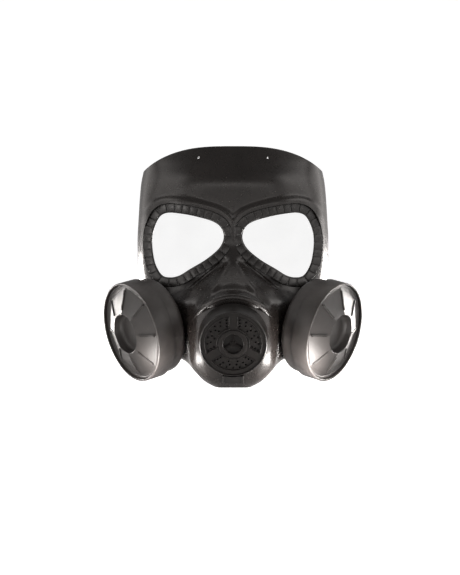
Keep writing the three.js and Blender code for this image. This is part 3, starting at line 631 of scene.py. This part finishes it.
def moulded_plastic(name, base, rough_low, rough_high, grain, index):
    """Black moulding: slight flow marks in colour and gloss, a fine grain and faint scuffs."""
    finish = Finish(name)
    place = finish.add("ShaderNodeTexCoord").outputs["Object"]
    flow = finish.noise(place, 38, 4, 0.55)
    scuff = finish.noise(place, 210, 5, 0.62)
    fine = finish.noise(place, 2600, 2, 0.5)
    lighter = tuple(min(1, c * 1.45) for c in base)
    tint = finish.between(finish.spread(flow, 0.35, 0.68, 0, 1), base, lighter)
    gloss = finish.spread(scuff, 0.3, 0.72, rough_low, rough_high)
    waves = finish.bump(flow, 0.2, 0.00005)
    normal = finish.bump(fine, 0.25, grain, waves)
    shader = finish.add(
        "ShaderNodeBsdfPrincipled",
        {"Base Color": tint, "Roughness": gloss, "Normal": normal, "IOR": index},
    )
    return finish.done(shader.outputs["BSDF"])


def clear_sheet(name, tint):
    """Thin clear plastic: a faint grey cast and a weak shine."""
    finish = Finish(name)
    place = finish.add("ShaderNodeTexCoord").outputs["Object"]
    haze = finish.noise(place, 60, 3)
    through = finish.add(
        "ShaderNodeBsdfTransparent",
        {"Color": finish.between(finish.spread(haze, 0.3, 0.7, 0, 1), tint, tuple(c * 0.985 for c in tint))},
    )
    shine = finish.add("ShaderNodeBsdfGlossy", {"Color": (1, 1, 1, 1), "Roughness": 0.12})
    weight = finish.add("ShaderNodeFresnel", {"IOR": 1.05})
    mix = finish.add(
        "ShaderNodeMixShader",
        {0: weight.outputs["Fac"], 1: through.outputs["BSDF"], 2: shine.outputs["BSDF"]},
    )
    return finish.done(mix.outputs["Shader"])


def stage_paint(name, tint, bounce, glow):
    """Matt paper that shows pale, and sends little of its own light onto the mask."""
    finish = Finish(name)
    place = finish.add("ShaderNodeTexCoord").outputs["Object"]
    fibre = finish.noise(place, 900, 3)
    shade = finish.between(finish.spread(fibre, 0.3, 0.7, 0, 1), tint, tuple(c * 0.992 for c in tint))
    seen = finish.add("ShaderNodeLightPath").outputs["Is Camera Ray"]
    shader = finish.add(
        "ShaderNodeBsdfPrincipled",
        {
            "Base Color": shade, "Roughness": 0.8, "Emission Color": (1, 1, 1, 1),
            "Emission Strength": finish.spread(seen, 0, 1, bounce, glow),
        },
    )
    return finish.done(shader.outputs["BSDF"])


# Places of the valve and the cans


def valve_matrix(shell, valve):
    """Local Z runs out of the mask and local Y up the face of the valve."""
    turn = Matrix.Rotation(math.radians(90) + valve.tilt, 4, "X")
    return Matrix.Translation((0, lens_plane(shell) + valve.y, valve.z)) @ turn


def can_matrix(shell, can, side):
    """Local Z is the can's outward axis and local Y runs up its face."""
    out = Vector((
        side * math.sin(can.turn) * math.cos(can.tilt),
        -math.cos(can.turn) * math.cos(can.tilt),
        -math.sin(can.tilt),
    ))
    across = Vector((0, 0, 1)).cross(out).normalized()
    up = out.cross(across)
    basis = Matrix((across, up, out)).transposed().to_4x4()
    return Matrix.Translation((side * can.x, lens_plane(shell) + can.y, can.z)) @ basis


class MASK_OT_face_shell(bpy.types.Operator):
    """Build the moulded face shell with its brow bands, nose ridges, creases and cut-outs"""

    bl_idname = "mask.face_shell"
    bl_label = "Face Shell"

    def relief(self, shell, window, valve, grid):
        """How far each point stands up: brow bands and nose ridges, less the creases and the collar groove."""
        gap, share = window_distance(window, grid[..., 0], grid[..., 2])
        inner, outer = (window.rim_width + edge * MM for edge in BAND_EDGE)
        run = np.mod(share - BAND_START, 1) / (BAND_END + 1 - BAND_START)
        band = (1 - smooth_step(inner, outer, gap)) * fade(run, 0.04, 0.34, 0.86, 1.0) * (run <= 1.0)
        run, aside = beside_line(grid, CREASE_PATH[0], CREASE_PATH[-2])
        trench = bell(aside - 2.2 * MM, 1.5 * MM) * fade(run, -0.04, 0.12, 0.9, 1.03)
        run, aside = beside_line(grid, *NOSE_RIDGE)
        ridge = bell(aside, 2.6 * MM) * fade(run, -0.05, 0.25, 0.75, 1.05)
        up = (grid[..., 2] - valve.z) * math.cos(valve.tilt) - (grid[..., 1] - valve.y) * math.sin(valve.tilt)
        from_collar = np.hypot(grid[..., 0], up) - valve.collar
        groove = bell(from_collar - 1.6 * MM, 1.3 * MM) * smooth_step(18 * MM, 30 * MM, up)
        sunk = shell.crease_height * (trench + groove)
        return shell.brow_height * band + shell.ridge_height * ridge - sunk

    def execute(self, context):
        scene = context.scene
        shell, window, valve = scene.mask_shell, scene.mask_window, scene.mask_valve
        grid = eased(shell_grid(shell), 5)
        grid = grid + outward(grid) * self.relief(shell, window, valve, grid)[..., None]
        grid[..., 2] = np.maximum(grid[..., 2], 0)
        rows, columns = grid.shape[:2]
        vertices = grid.reshape(-1, 3)
        faces = [
            (j * columns + i, j * columns + i + 1, (j + 1) * columns + i + 1, (j + 1) * columns + i)
            for j in range(rows - 1) for i in range(columns - 1)
        ]
        faces.append(tuple(range(columns))[::-1])
        piece = new_mesh_piece("mask_face_shell", vertices, faces)
        place(piece, Matrix.Translation((0, lens_plane(shell), 0)))
        surface = BVHTree.FromPolygons([v.co for v in piece.data.vertices], [p.vertices for p in piece.data.polygons])
        raised = self.beads(surface) + self.links(surface, shell)
        apply_modifier(piece, "SOLIDIFY", thickness=shell.wall, offset=-1, use_even_offset=True)
        soften_edges(piece, 0.35 * MM, 2, 62)
        cut(piece, self.cutter(scene))
        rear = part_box("face_shell")[1].y
        for vertex in piece.data.vertices:
            vertex.co.y = min(vertex.co.y, rear)
        piece = joined("mask_face_shell", [piece] + raised)
        finish_piece(piece, scene_material("shell"), ["face_shell"])
        return {"FINISHED"}

    def beads(self, surface):
        """Thin raised lines on the skin: the brow lines that cross over the nose and the nose creases."""
        lines = []
        for _, side in SIDES:
            for path, thick in ((BROW_LINE, 0.55 * MM), (CREASE_PATH, 0.85 * MM)):
                flat = np.array(path) * MM * [side, 1]
                steps = np.linspace(0, 1, 60)
                flat = along_curve(np.broadcast_to(flat, (60,) + flat.shape), steps)
                points = []
                for x, z in flat:
                    hit = surface.ray_cast(Vector((x, -1, z)), Vector((0, 1, 0)))
                    points.append(hit[0] + Vector((0, -0.1 * MM, 0)))
                lines.append(tube("bead", points, thick, np.clip(np.minimum(steps, 1 - steps) * 6, 0.15, 1)))
        return lines

    def links(self, surface, shell):
        """Small links between the two brow lines where they run down the bridge."""
        low, high = 0.593 * shell.height, 0.655 * shell.height
        links = []
        for k in range(4):
            link = block("link", (0.95 * MM, 1.6 * MM, 0.95 * MM), (0, 0, 0), 0.12 * MM)
            level = low + (high - low) * (k + 0.5) / 4
            foot = surface.ray_cast(Vector((0, -1, level)), Vector((0, 1, 0)))[0]
            place(link, Matrix.Translation(foot) @ Matrix.Rotation(math.radians(45), 4, "Y"))
            links.append(link)
        return links

    def cutter(self, scene):
        """Everything that is cut through the wall: windows, strap holes, valve bore and can ports."""
        shell, window, valve, can = scene.mask_shell, scene.mask_window, scene.mask_valve, scene.mask_can
        tools = []
        middle = lens_plane(shell)
        for _, side in SIDES:
            x, z = window_point(window, np.arange(150) / 150, window.rim_width + 0.3 * MM, BRIDGE_CUT)
            front = [(side * a, middle - 0.06, b) for a, b in zip(x, z)]
            back = [(side * a, middle + 0.06, b) for a, b in zip(x, z)]
            tools.append(prism("window_tool", front, back))
            bore = turned("strap_tool", [(STRAP_HOLE, -6), (STRAP_HOLE, 6)], 24)
            hole = (side * 0.348 * shell.half_width, middle - 0.0046, 0.949 * shell.height)
            place(bore, Matrix.Translation(hole) @ Matrix.Rotation(math.radians(64), 4, "X"))
            tools.append(bore)
            port = turned("port_tool", [(CAN_PORT, -47), (CAN_PORT, -can.depth / MM)], 48)
            place(port, can_matrix(shell, can, side))
            tools.append(port)
        bore = turned("valve_tool", [(VALVE_BORE, -54), (VALVE_BORE, 0)], 64)
        place(bore, valve_matrix(shell, valve))
        tools.append(bore)
        return joined("shell_tool", tools)


class MASK_OT_collar(bpy.types.Operator):
    """Build the stepped collar that the muzzle forms behind the valve"""

    bl_idname = "mask.collar"
    bl_label = "Muzzle Collar"

    def execute(self, context):
        scene = context.scene
        shell, valve = scene.mask_shell, scene.mask_valve
        r, wall = valve.collar / MM, shell.wall / MM
        profile = [
            (22, -23.6), (r - 4.5, -23.6), (r - 4.3, -23.4), (r - 4.3, -21.8), (r - 4.0, -21.25), (r - 3.4, -21.0),
            (r - 1.8, -21.2), (r - 0.7, -21.9), (r - 0.15, -22.9), (r, -24), (r, -38), (r - wall, -38),
            (r - wall, -25.6), (22, -25.6), (22, -23.6),
        ]
        piece = turned("mask_collar", profile, 160, fill=False)
        for vertex in piece.data.vertices:
            aside = abs(math.degrees(math.atan2(vertex.co.x, vertex.co.y)))
            vertex.co.z -= 6 * MM * float(smooth_step(24, 70, aside))
        make_active(piece)
        with editing():
            bpy.ops.mesh.bisect(plane_co=(0, 12 * MM, 0), plane_no=(0, 1, 0), clear_inner=True, use_fill=True)
        place(face_out(piece), valve_matrix(shell, valve))
        finish_piece(piece, scene_material("shell"), ["face_shell"])
        return {"FINISHED"}


class MASK_OT_eye_rims(bpy.types.Operator):
    """Build the ribbed rims: one rib is modelled, repeated in a row and laid round each window"""

    bl_idname = "mask.eye_rims"
    bl_label = "Eye Rims"

    def rib(self, window, pitch):
        """One rib in a straight row: X along the row, Y across the rim, Z outward."""
        start_clean()
        bpy.ops.mesh.primitive_cube_add(size=1)
        rib = bpy.context.object
        with editing():
            bpy.ops.transform.resize(value=(pitch * 0.9, window.rim_width - 1.1 * MM, 3.0 * MM))
            middle = (pitch / 2, (window.rim_width + 0.9 * MM) / 2, -1.5 * MM)
            bpy.ops.transform.translate(value=middle)
            bpy.ops.mesh.bevel(offset=0.42 * MM, segments=3, affect="EDGES")
            bpy.ops.mesh.select_all(action="SELECT")
            bpy.ops.mesh.bisect(plane_co=(pitch / 2, 0, 0), plane_no=(1, 0, 0))
        return rib

    def wrapped(self, name, piece, window, shell, side, run):
        """Lays a straight row round the window: X becomes the share of the outline."""
        count = len(piece.data.vertices)
        flat = np.empty(count * 3)
        piece.data.vertices.foreach_get("co", flat)
        flat = flat.reshape(-1, 3)
        share, across, height = flat[:, 0] / run, flat[:, 1], flat[:, 2]
        x, z = window_point(window, share, across, BRIDGE_RIM)
        slope = window.rim_proud * np.clip(across / window.rim_width, 0, 1)
        y = window_y(window, shell, x) - slope - height
        solid = np.column_stack([side * x, y + lens_plane(shell), z])
        layer = piece.data.uv_layers.new(name="rim_run")
        corner = np.empty(len(piece.data.loops), dtype=np.int32)
        piece.data.loops.foreach_get("vertex_index", corner)
        uv = np.column_stack([flat[corner, 0] / MM, flat[corner, 1] / MM])
        layer.data.foreach_set("uv", uv.ravel())
        piece.data.vertices.foreach_set("co", solid.ravel())
        piece.data.update()
        piece.name = name
        return piece

    def execute(self, context):
        scene = context.scene
        shell, window = scene.mask_shell, scene.mask_window
        points, _ = window_curve(window)
        run = np.linalg.norm(np.roll(points, -1, axis=0) - points, axis=1).sum()
        pitch = run / window.ribs
        for word, side in SIDES:
            rib = self.rib(window, pitch)
            row = [rib] + [copy_of(rib, Matrix.Translation((k * pitch, 0, 0))) for k in range(1, window.ribs)]
            ribs = self.wrapped("ribs", joined("ribs", row), window, shell, side, run)
            bed = self.wrapped("bed", self.bed(window, run), window, shell, side, run)
            rim = joined(f"mask_eye_rim_{word}", [bed, ribs])
            with editing():
                bpy.ops.mesh.remove_doubles(threshold=2e-6)
                bpy.ops.mesh.normals_make_consistent(inside=False)
            finish_piece(rim, scene_material("rim"), [f"eye_rim_{word}"], 35)
        return {"FINISHED"}

    def bed(self, window, run):
        """The rim's body under the ribs, with the lip at the opening, as a straight strip."""
        w = window.rim_width / MM
        section = [
            (0, -5.0), (0, -1.5), (0.12, -1.25), (0.35, -1.12), (0.7, -1.05), (0.95, -0.85),
            (1.3, -0.8), (w - 0.25, -0.8), (w, -1.05), (w, -4.2), (w + 1.6, -4.3), (w + 1.6, -5.0),
        ]
        steps = 240
        vertices = [(run * i / steps, a * MM, b * MM) for i in range(steps) for a, b in section]
        count = len(section)
        faces = [
            (i * count + k, i * count + (k + 1) % count,
             ((i + 1) % steps) * count + (k + 1) % count, ((i + 1) % steps) * count + k)
            for i in range(steps) for k in range(count)
        ]
        return new_mesh_piece("bed", vertices, faces)


class MASK_OT_lenses(bpy.types.Operator):
    """Build the bowed clear sheets behind the rims"""

    bl_idname = "mask.lenses"
    bl_label = "Lenses"

    def execute(self, context):
        scene = context.scene
        shell, window = scene.mask_shell, scene.mask_window
        around, rings = 96, 12
        for word, side in SIDES:
            x, z = window_point(window, np.arange(around) / around, 3.5 * MM, BRIDGE_LENS)
            middle = (window.inner_x + window.width / 2, window.bottom + window.height / 2)
            vertices, faces = [], []
            for k in range(1, rings + 1):
                for a, b in zip(x, z):
                    across = middle[0] + (a - middle[0]) * k / rings
                    up = middle[1] + (b - middle[1]) * k / rings
                    vertices.append((side * across, window_y(window, shell, across) + 5.3 * MM, up))
            for k in range(rings - 1):
                for i in range(around):
                    j = (i + 1) % around
                    faces.append((k * around + i, k * around + j, (k + 1) * around + j, (k + 1) * around + i))
            faces.append(tuple(range(around))[::-1])
            piece = new_mesh_piece(f"mask_lens_{word}", vertices, faces)
            with editing():
                bpy.ops.mesh.normals_make_consistent(inside=False)
            if sum(p.normal.y for p in piece.data.polygons) > 0:
                piece.data.flip_normals()
            place(piece, Matrix.Translation((0, lens_plane(shell), 0)))
            apply_modifier(piece, "SOLIDIFY", thickness=window.sheet, offset=-1)
            finish_piece(piece, scene_material("sheet"), [f"lens_{word}"])
        return {"FINISHED"}


class MASK_OT_filter_cans(bpy.types.Operator):
    """Build the stepped drums on the cheeks"""

    bl_idname = "mask.filter_cans"
    bl_label = "Filter Cans"

    def execute(self, context):
        scene = context.scene
        shell, can = scene.mask_shell, scene.mask_can
        r, back = can.radius / MM, -can.depth / MM
        slim = r - 2.2
        profile = [
            (10, back + 1.6), (slim - 5, back + 1.6), (slim - 2.6, back + 2.8), (slim - 1.6, back + 5), (slim - 1.6, -5.3),
            (r - 1.6, -5.3), (r - 1.6, -0.3), (r - 1.3, -0.05), (r - 0.9, 0), (r - 0.5, -0.08), (r - 0.15, -0.4),
            (r, -0.9), (r, -16.6), (r - 0.15, -17), (slim + 0.35, -17.5), (slim, -17.9), (slim, back + 5.5),
            (slim - 0.35, back + 3.6), (slim - 1.4, back + 1.75), (slim - 3.0, back + 0.55), (slim - 5, back), (20, back),
            (19.6, back - 0.4), (19.6, back - 6), (14, back - 6), (14, back - 11), (10, back - 11), (10, back + 1.6),
        ]
        drum = turned("drum", profile, 144, fill=False)
        for word, side in SIDES:
            piece = copy_of(drum, can_matrix(shell, can, side))
            piece.name = f"mask_filter_can_{word}"
            finish_piece(piece, scene_material("can"), [f"filter_can_{word}"])
        bpy.data.objects.remove(drum)
        return {"FINISHED"}


class MASK_OT_filter_caps(bpy.types.Operator):
    """Build the faceted caps with their ribs and round recess"""

    bl_idname = "mask.filter_caps"
    bl_label = "Filter Caps"

    facets = 8
    foot, recess, sunk, rise, deep = 41.5, 18.4, 2.9, 9.2, 9.0

    def slope(self):
        """Rise of a rib for each millimetre toward the middle."""
        return self.rise / (self.foot - self.recess)

    def rib_height(self, radius):
        """Height of the border between two facets, in millimetres."""
        return -self.sunk + self.slope() * (self.foot - radius)

    def plate(self):
        """The raised plate: flat facets that climb from an eight-sided foot to the rim of the recess."""
        floor, skin = -self.sunk + self.rise - self.deep, 1.4
        foot, edge = self.foot - 0.01, self.recess
        rings = [
            (POLE, floor), (13.0, floor), (14.6, floor + 0.2), (15.8, floor + 0.75), (16.7, floor + 1.7),
            (17.25, floor + 3.1), (edge - 0.5, self.rib_height(edge) - 1.0), (edge - 0.3, self.rib_height(edge) - 0.35),
            (edge, self.rib_height(edge) - 0.05), (edge + 0.4, self.rib_height(edge + 0.4)), (foot, -self.sunk),
            (self.foot, -self.sunk), (41.8, -2.8), (42.0, -2.6), (42.3, -2.45), (43.8, -2.45), (44.1, -2.7),
            (44.1, -4.7), (43.9, -5.0), (42.5, -5.2), (foot, -self.sunk - skin),
            (edge + 1.9, self.rib_height(edge + 1.9) - skin), (edge + 0.2, floor + 1), (17.4, floor - 0.8),
            (16.3, floor - skin), (POLE, floor - skin),
        ]
        plate = turned("plate", rings, 14 * self.facets, fill=False)
        step = 2 * math.pi / self.facets
        for vertex in plate.data.vertices:
            radius = vertex.co.xy.length / MM
            turn = math.atan2(vertex.co.y, vertex.co.x) - math.pi / 2
            flat = math.cos((turn % step) - step / 2) / math.cos(step / 2)
            if abs(radius - foot) < 0.004:
                vertex.co.xy /= flat
            elif edge - 0.4 < radius < edge + 2:
                vertex.co.z -= self.slope() * radius * (flat - 1) * MM
        plate.data.update()
        return plate

    def rib(self):
        """One rib on the border of two facets, pointing up, with a small ring at its outer end."""
        inner, outer = 21.5, 38.2
        middle = (inner + outer) / 2
        run = (outer - inner) * MM
        parts = [block("web", (1.2 * MM, run, 1.0 * MM), (0, 0, -0.15 * MM), 0.1 * MM, 2)]
        for aside in (-0.55, 0.55):
            parts.append(block("edge", (0.42 * MM, run, 1.5 * MM), (aside * MM, 0, 0), 0.12 * MM, 2))
        ring = [(0.55, -0.6), (0.55, 0.6), (0.7, 0.85), (0.95, 0.85), (1.1, 0.6), (1.15, -0.6), (0.55, -0.6)]
        boss = turned("boss", ring, 20, fill=False)
        place(boss, Matrix.Translation((0, run / 2 + 0.5 * MM, 0)))
        rib = joined("rib", parts + [boss])
        lean = Matrix.Rotation(-math.atan(self.slope()), 4, "X")
        place(rib, Matrix.Translation((0, middle * MM, (self.rib_height(middle) + 0.05) * MM)) @ lean)
        return rib

    def execute(self, context):
        scene = context.scene
        shell, can = scene.mask_shell, scene.mask_can
        parts = [self.plate()]
        rib = self.rib()
        for k in range(self.facets):
            parts.append(copy_of(rib, Matrix.Rotation(k * 2 * math.pi / self.facets, 4, "Z")))
        bpy.data.objects.remove(rib)
        cap = joined("cap", parts)
        for word, side in SIDES:
            piece = copy_of(cap, can_matrix(shell, can, side))
            piece.name = f"mask_filter_cap_{word}"
            finish_piece(piece, scene_material("cap"), [f"filter_cap_{word}"], 12)
        bpy.data.objects.remove(cap)
        return {"FINISHED"}


class MASK_OT_valve(bpy.types.Operator):
    """Build the valve housing, the pierced cover and the hub"""

    bl_idname = "mask.valve"
    bl_label = "Valve"

    spoke = 8.1
    field_inner, field_outer = 14.6, 24.6

    def field(self, start, end, inner, outer, spoke):
        """Outline of one sunk field between two spokes, in millimetres."""
        def arc(radius, count):
            inset = math.asin(spoke / 2 / radius)
            return [(radius * math.cos(a), radius * math.sin(a)) for a in np.linspace(start + inset, end - inset, count)]
        return arc(outer, 25) + arc(inner, 15)[::-1]

    def housing(self, valve):
        r, b = valve.radius / MM, valve.back_radius / MM
        profile = [
            (15.4, -4.7), (r - 1.2, -4.7), (r - 1.2, -0.5), (r - 1.0, -0.15), (r - 0.75, 0), (r - 0.5, -0.1),
            (r - 0.15, -0.5), (r, -1.0), (r + 0.05, -1.5), (b, -17), (b, -20), (24, -20), (24, -6.7), (15.4, -6.7), (15.4, -4.7),
        ]
        return turned("mask_valve_housing", profile, 128, fill=False)

    def cover(self, valve):
        r = valve.radius / MM
        profile = [
            (POLE, -3.4), (8.7, -3.4), (9.0, -3.2), (9.0, -0.75), (9.3, -0.5), (9.8, -0.45), (12.3, -0.45), (12.65, -0.6),
            (12.8, -0.9), (12.8, -1.4), (r - 1.6, -1.4), (r - 1.3, -1.6), (r - 1.3, -4.4), (POLE, -4.4),
        ]
        cover = turned("mask_valve_cover", profile, 128, fill=False)
        fields, vents = [], []
        for degrees in SPOKE_ANGLES:
            start = math.radians(degrees)
            end = start + 2 * math.pi / 3
            outline = self.field(start, end, self.field_inner, self.field_outer, self.spoke)
            fields.append(prism("field_tool", *[[(x * MM, y * MM, z * MM) for x, y in outline] for z in (-2.4, 1)]))
            for radius, count in VENT_ROWS:
                inset = math.asin((self.spoke / 2 + 1.6) / radius)
                for turn in np.linspace(start + inset, end - inset, count):
                    vent = turned("vent_tool", [(VENT_HOLE, -6), (VENT_HOLE, 1)], 14)
                    place(vent, Matrix.Translation((radius * math.cos(turn) * MM, radius * math.sin(turn) * MM, 0)))
                    vents.append(vent)
        cut(cover, joined("field_tool", fields))
        cut(cover, joined("vent_tool", vents))
        return cover

    def field_edges(self):
        """Thin raised lines round the sunk fields."""
        lines = []
        for degrees in SPOKE_ANGLES:
            start = math.radians(degrees)
            outline = self.field(
                start, start + 2 * math.pi / 3, self.field_inner - 0.35, self.field_outer + 0.35, self.spoke - 0.7
            )
            points = [Vector((x * MM, y * MM, -1.4 * MM)) for x, y in outline]
            lines.append(tube("field_line", points, 0.45 * MM, closed=True, resolution=2))
        return joined("field_lines", lines)

    def hub(self):
        """The boss and its three arms."""
        parts = [turned("boss", [(0.3, -1.5), (2.1, -1.5), (2.4, -1.8), (2.4, -3.1)], 32)]
        for degrees in SPOKE_ANGLES:
            arm = block("arm", (7.4 * MM, 2.3 * MM, 1.3 * MM), (4.9 * MM, 0, -2.4 * MM), 0.25 * MM, 2)
            place(arm, Matrix.Rotation(math.radians(degrees), 4, "Z"))
            parts.append(arm)
        return joined("mask_valve_hub", parts)

    def execute(self, context):
        scene = context.scene
        shell, valve = scene.mask_shell, scene.mask_valve
        matrix = valve_matrix(shell, valve)
        housing = self.housing(valve)
        place(housing, matrix)
        finish_piece(housing, scene_material("valve"), ["valve_housing"])
        cover = self.cover(valve)
        cover = joined("mask_valve_cover", [cover, self.field_edges()])
        place(cover, matrix)
        finish_piece(cover, scene_material("cover"), ["valve_cover"])
        hub = self.hub()
        place(hub, matrix)
        finish_piece(hub, scene_material("hub"), ["valve_hub"])
        return {"FINISHED"}


class MASK_OT_latch(bpy.types.Operator):
    """Build the catch under the valve"""

    bl_idname = "mask.latch"
    bl_label = "Latch"

    def execute(self, context):
        scene = context.scene
        shell, valve = scene.mask_shell, scene.mask_valve
        r = valve.radius / MM
        top, bottom = -r + 3.7, -r - 7.7
        middle = (top + bottom) / 2
        high = (top - bottom) * MM
        parts = [block("body", (16.6 * MM, high, 5.6 * MM), (0, middle * MM, -4.6 * MM), 0.4 * MM)]
        for _, side in SIDES:
            place_at = (side * 8.4 * MM, middle * MM, -4.1 * MM)
            parts.append(block("cheek", (1.7 * MM, high, 7.2 * MM), place_at, 0.6 * MM))
        for part in parts:
            cut(part, turned("ring_tool", [(r + 1.4, -17), (r + 1.4, 17)], 128))
        latch = joined("mask_valve_latch", parts)
        place(latch, valve_matrix(shell, valve))
        finish_piece(latch, scene_material("valve"), ["valve_latch"])
        return {"FINISHED"}


class MASK_OT_stage(bpy.types.Operator):
    """Set up the pale floor, the soft light and the camera"""

    bl_idname = "mask.stage"
    bl_label = "Stage"

    def sweep(self, stage):
        """Floor and backdrop in one curved sheet."""
        start_clean()
        bpy.ops.mesh.primitive_plane_add(size=1)
        floor = bpy.context.object
        floor.name = "stage_floor"
        with editing():
            bpy.ops.transform.resize(value=(6, 2.4, 1))
            bpy.ops.transform.translate(value=(0, 0.4, 0))
        for edge in floor.data.edges:
            edge.select = all(floor.data.vertices[v].co.y > 1 for v in edge.vertices)
        for vertex in floor.data.vertices:
            vertex.select = vertex.co.y > 1
        for face in floor.data.polygons:
            face.select = False
        bpy.ops.object.mode_set(mode="EDIT")
        bpy.ops.mesh.select_mode(type="EDGE")
        radius, steps = 0.8, 16
        y, z = 1.6, 0.0
        for k in range(1, steps + 1):
            turn = math.pi / 2 * k / steps
            next_y, next_z = 1.6 + radius * math.sin(turn), radius * (1 - math.cos(turn))
            bpy.ops.mesh.extrude_edges_move(TRANSFORM_OT_translate={"value": (0, next_y - y, next_z - z)})
            y, z = next_y, next_z
        bpy.ops.mesh.extrude_edges_move(TRANSFORM_OT_translate={"value": (0, 0, 3)})
        bpy.ops.object.mode_set(mode="OBJECT")
        bpy.ops.object.shade_smooth()
        floor.data.materials.append(stage_paint("pale_paper", stage.floor, stage.bounce, stage.glow))

    def surround(self, stage):
        """Pale to the camera and dim to the mask, so that its front stays dark."""
        world = bpy.data.worlds.new("soft_surround")
        world.use_nodes = True
        tree = world.node_tree
        seen = tree.nodes.new("ShaderNodeLightPath").outputs["Is Camera Ray"]
        strength = tree.nodes.new("ShaderNodeMapRange")
        strength.inputs["To Min"].default_value = stage.surround
        strength.inputs["To Max"].default_value = 1.0
        tree.links.new(seen, strength.inputs["Value"])
        tree.links.new(strength.outputs["Result"], tree.nodes["Background"].inputs["Strength"])
        tree.nodes["Background"].inputs["Color"].default_value = (1, 1, 1, 1)
        return world

    def light(self, name, place, aim, size, power, tint):
        start_clean()
        bpy.ops.object.light_add(type="AREA", location=place)
        light = bpy.context.object
        light.name = name
        light.data.shape = "RECTANGLE"
        light.data.size, light.data.size_y = size
        light.data.energy = power
        light.data.color = tint
        light.visible_camera = False
        light.rotation_euler = (Vector(aim) - Vector(place)).to_track_quat("-Z", "Y").to_euler()

    def execute(self, context):
        scene = context.scene
        shell, stage = scene.mask_shell, scene.mask_stage
        self.sweep(stage)
        for name, place, aim, size, power in MIDDLE_LAMPS:
            self.light(f"lamp_{name}", place, aim, size, power, stage.light_tint)
        for name, place, aim, size, *powers in SIDE_LAMPS:
            for (word, side), power in zip(SIDES, powers):
                mirror = Vector((side, 1, 1))
                at, toward = Vector(place) * mirror, Vector(aim) * mirror
                self.light(f"lamp_{name}_{word}", at, toward, size, power, stage.light_tint)
        scene.world = self.surround(stage)
        middle = Vector((stage.aim_x, lens_plane(shell), stage.aim_z))
        back = Vector((0, -math.cos(stage.elevation), math.sin(stage.elevation)))
        start_clean()
        bpy.ops.object.camera_add(location=middle + back * stage.distance)
        camera = bpy.context.object
        camera.name = "photo_camera"
        camera.rotation_euler = (-back).to_track_quat("-Z", "Y").to_euler()
        camera.data.lens = stage.focal_length
        camera.data.sensor_fit = "AUTO"
        camera.data.sensor_width = 36
        scene.camera = camera
        scene.view_settings.view_transform = "Standard"
        return {"FINISHED"}


def scene_material(word):
    """The finish of a group of pieces, made when it is first asked for."""
    found = bpy.data.materials.get(f"mask_{word}")
    if found:
        return found
    tints = bpy.context.scene.mask_colours
    if word == "sheet":
        return clear_sheet("mask_sheet", tints.sheet)
    base, low, high, grain, index = {
        "shell": (tints.shell, 0.25, 0.33, 0.0000015, 1.5),
        "rim": (tints.rim, 0.24, 0.36, 0.000006, 1.5),
        # The cans' lighter base colour is painted light on the drum sides.
        "can": (tints.can, 0.42, 0.54, 0.000004, 1.5),
        "cap": (tints.cap, 0.46, 0.56, 0.000004, 1.5),
        "valve": (tints.valve, 0.30, 0.42, 0.000004, 1.5),
        "cover": (tints.valve, 0.38, 0.50, 0.000005, 1.32),
        # The hub's darker base colour is painted shade of the cover's sunk middle.
        "hub": (tints.hub, 0.50, 0.60, 0.000005, 1.2),
    }[word]
    return moulded_plastic(f"mask_{word}", tuple(base), low, high, grain, index)


BUILD_ORDER = (
    MASK_OT_face_shell, MASK_OT_collar, MASK_OT_eye_rims, MASK_OT_lenses, MASK_OT_filter_cans,
    MASK_OT_filter_caps, MASK_OT_valve, MASK_OT_latch, MASK_OT_stage,
)
SETTINGS = {
    "mask_shell": ShellSizes,
    "mask_window": WindowSizes,
    "mask_valve": ValveSizes,
    "mask_can": CanSizes,
    "mask_colours": FinishColours,
    "mask_stage": StageSettings,
}


class MASK_PT_panel(bpy.types.Panel):
    """Lists the pieces of the mask and their sizes"""

    bl_idname = "MASK_PT_panel"
    bl_label = "Costume Mask"
    bl_space_type = "VIEW_3D"
    bl_region_type = "UI"
    bl_category = "Mask"

    def draw(self, context):
        for operator in BUILD_ORDER:
            self.layout.operator(operator.bl_idname)
        for name in SETTINGS:
            box = self.layout.box()
            settings = getattr(context.scene, name)
            for key in settings.__annotations__:
                box.prop(settings, key)


def register():
    for group in SETTINGS.values():
        bpy.utils.register_class(group)
    for operator in BUILD_ORDER:
        bpy.utils.register_class(operator)
    bpy.utils.register_class(MASK_PT_panel)
    for name, group in SETTINGS.items():
        setattr(bpy.types.Scene, name, PointerProperty(type=group))


def unregister():
    for name in SETTINGS:
        delattr(bpy.types.Scene, name)
    bpy.utils.unregister_class(MASK_PT_panel)
    for operator in reversed(BUILD_ORDER):
        bpy.utils.unregister_class(operator)
    for group in reversed(list(SETTINGS.values())):
        bpy.utils.unregister_class(group)


def main():
    register()
    bpy.ops.mask.face_shell()
    bpy.ops.mask.collar()
    bpy.ops.mask.eye_rims()
    bpy.ops.mask.lenses()
    bpy.ops.mask.filter_cans()
    bpy.ops.mask.filter_caps()
    bpy.ops.mask.valve()
    bpy.ops.mask.latch()
    bpy.ops.mask.stage()
    start_clean()


if __name__ == "__main__":
    main()
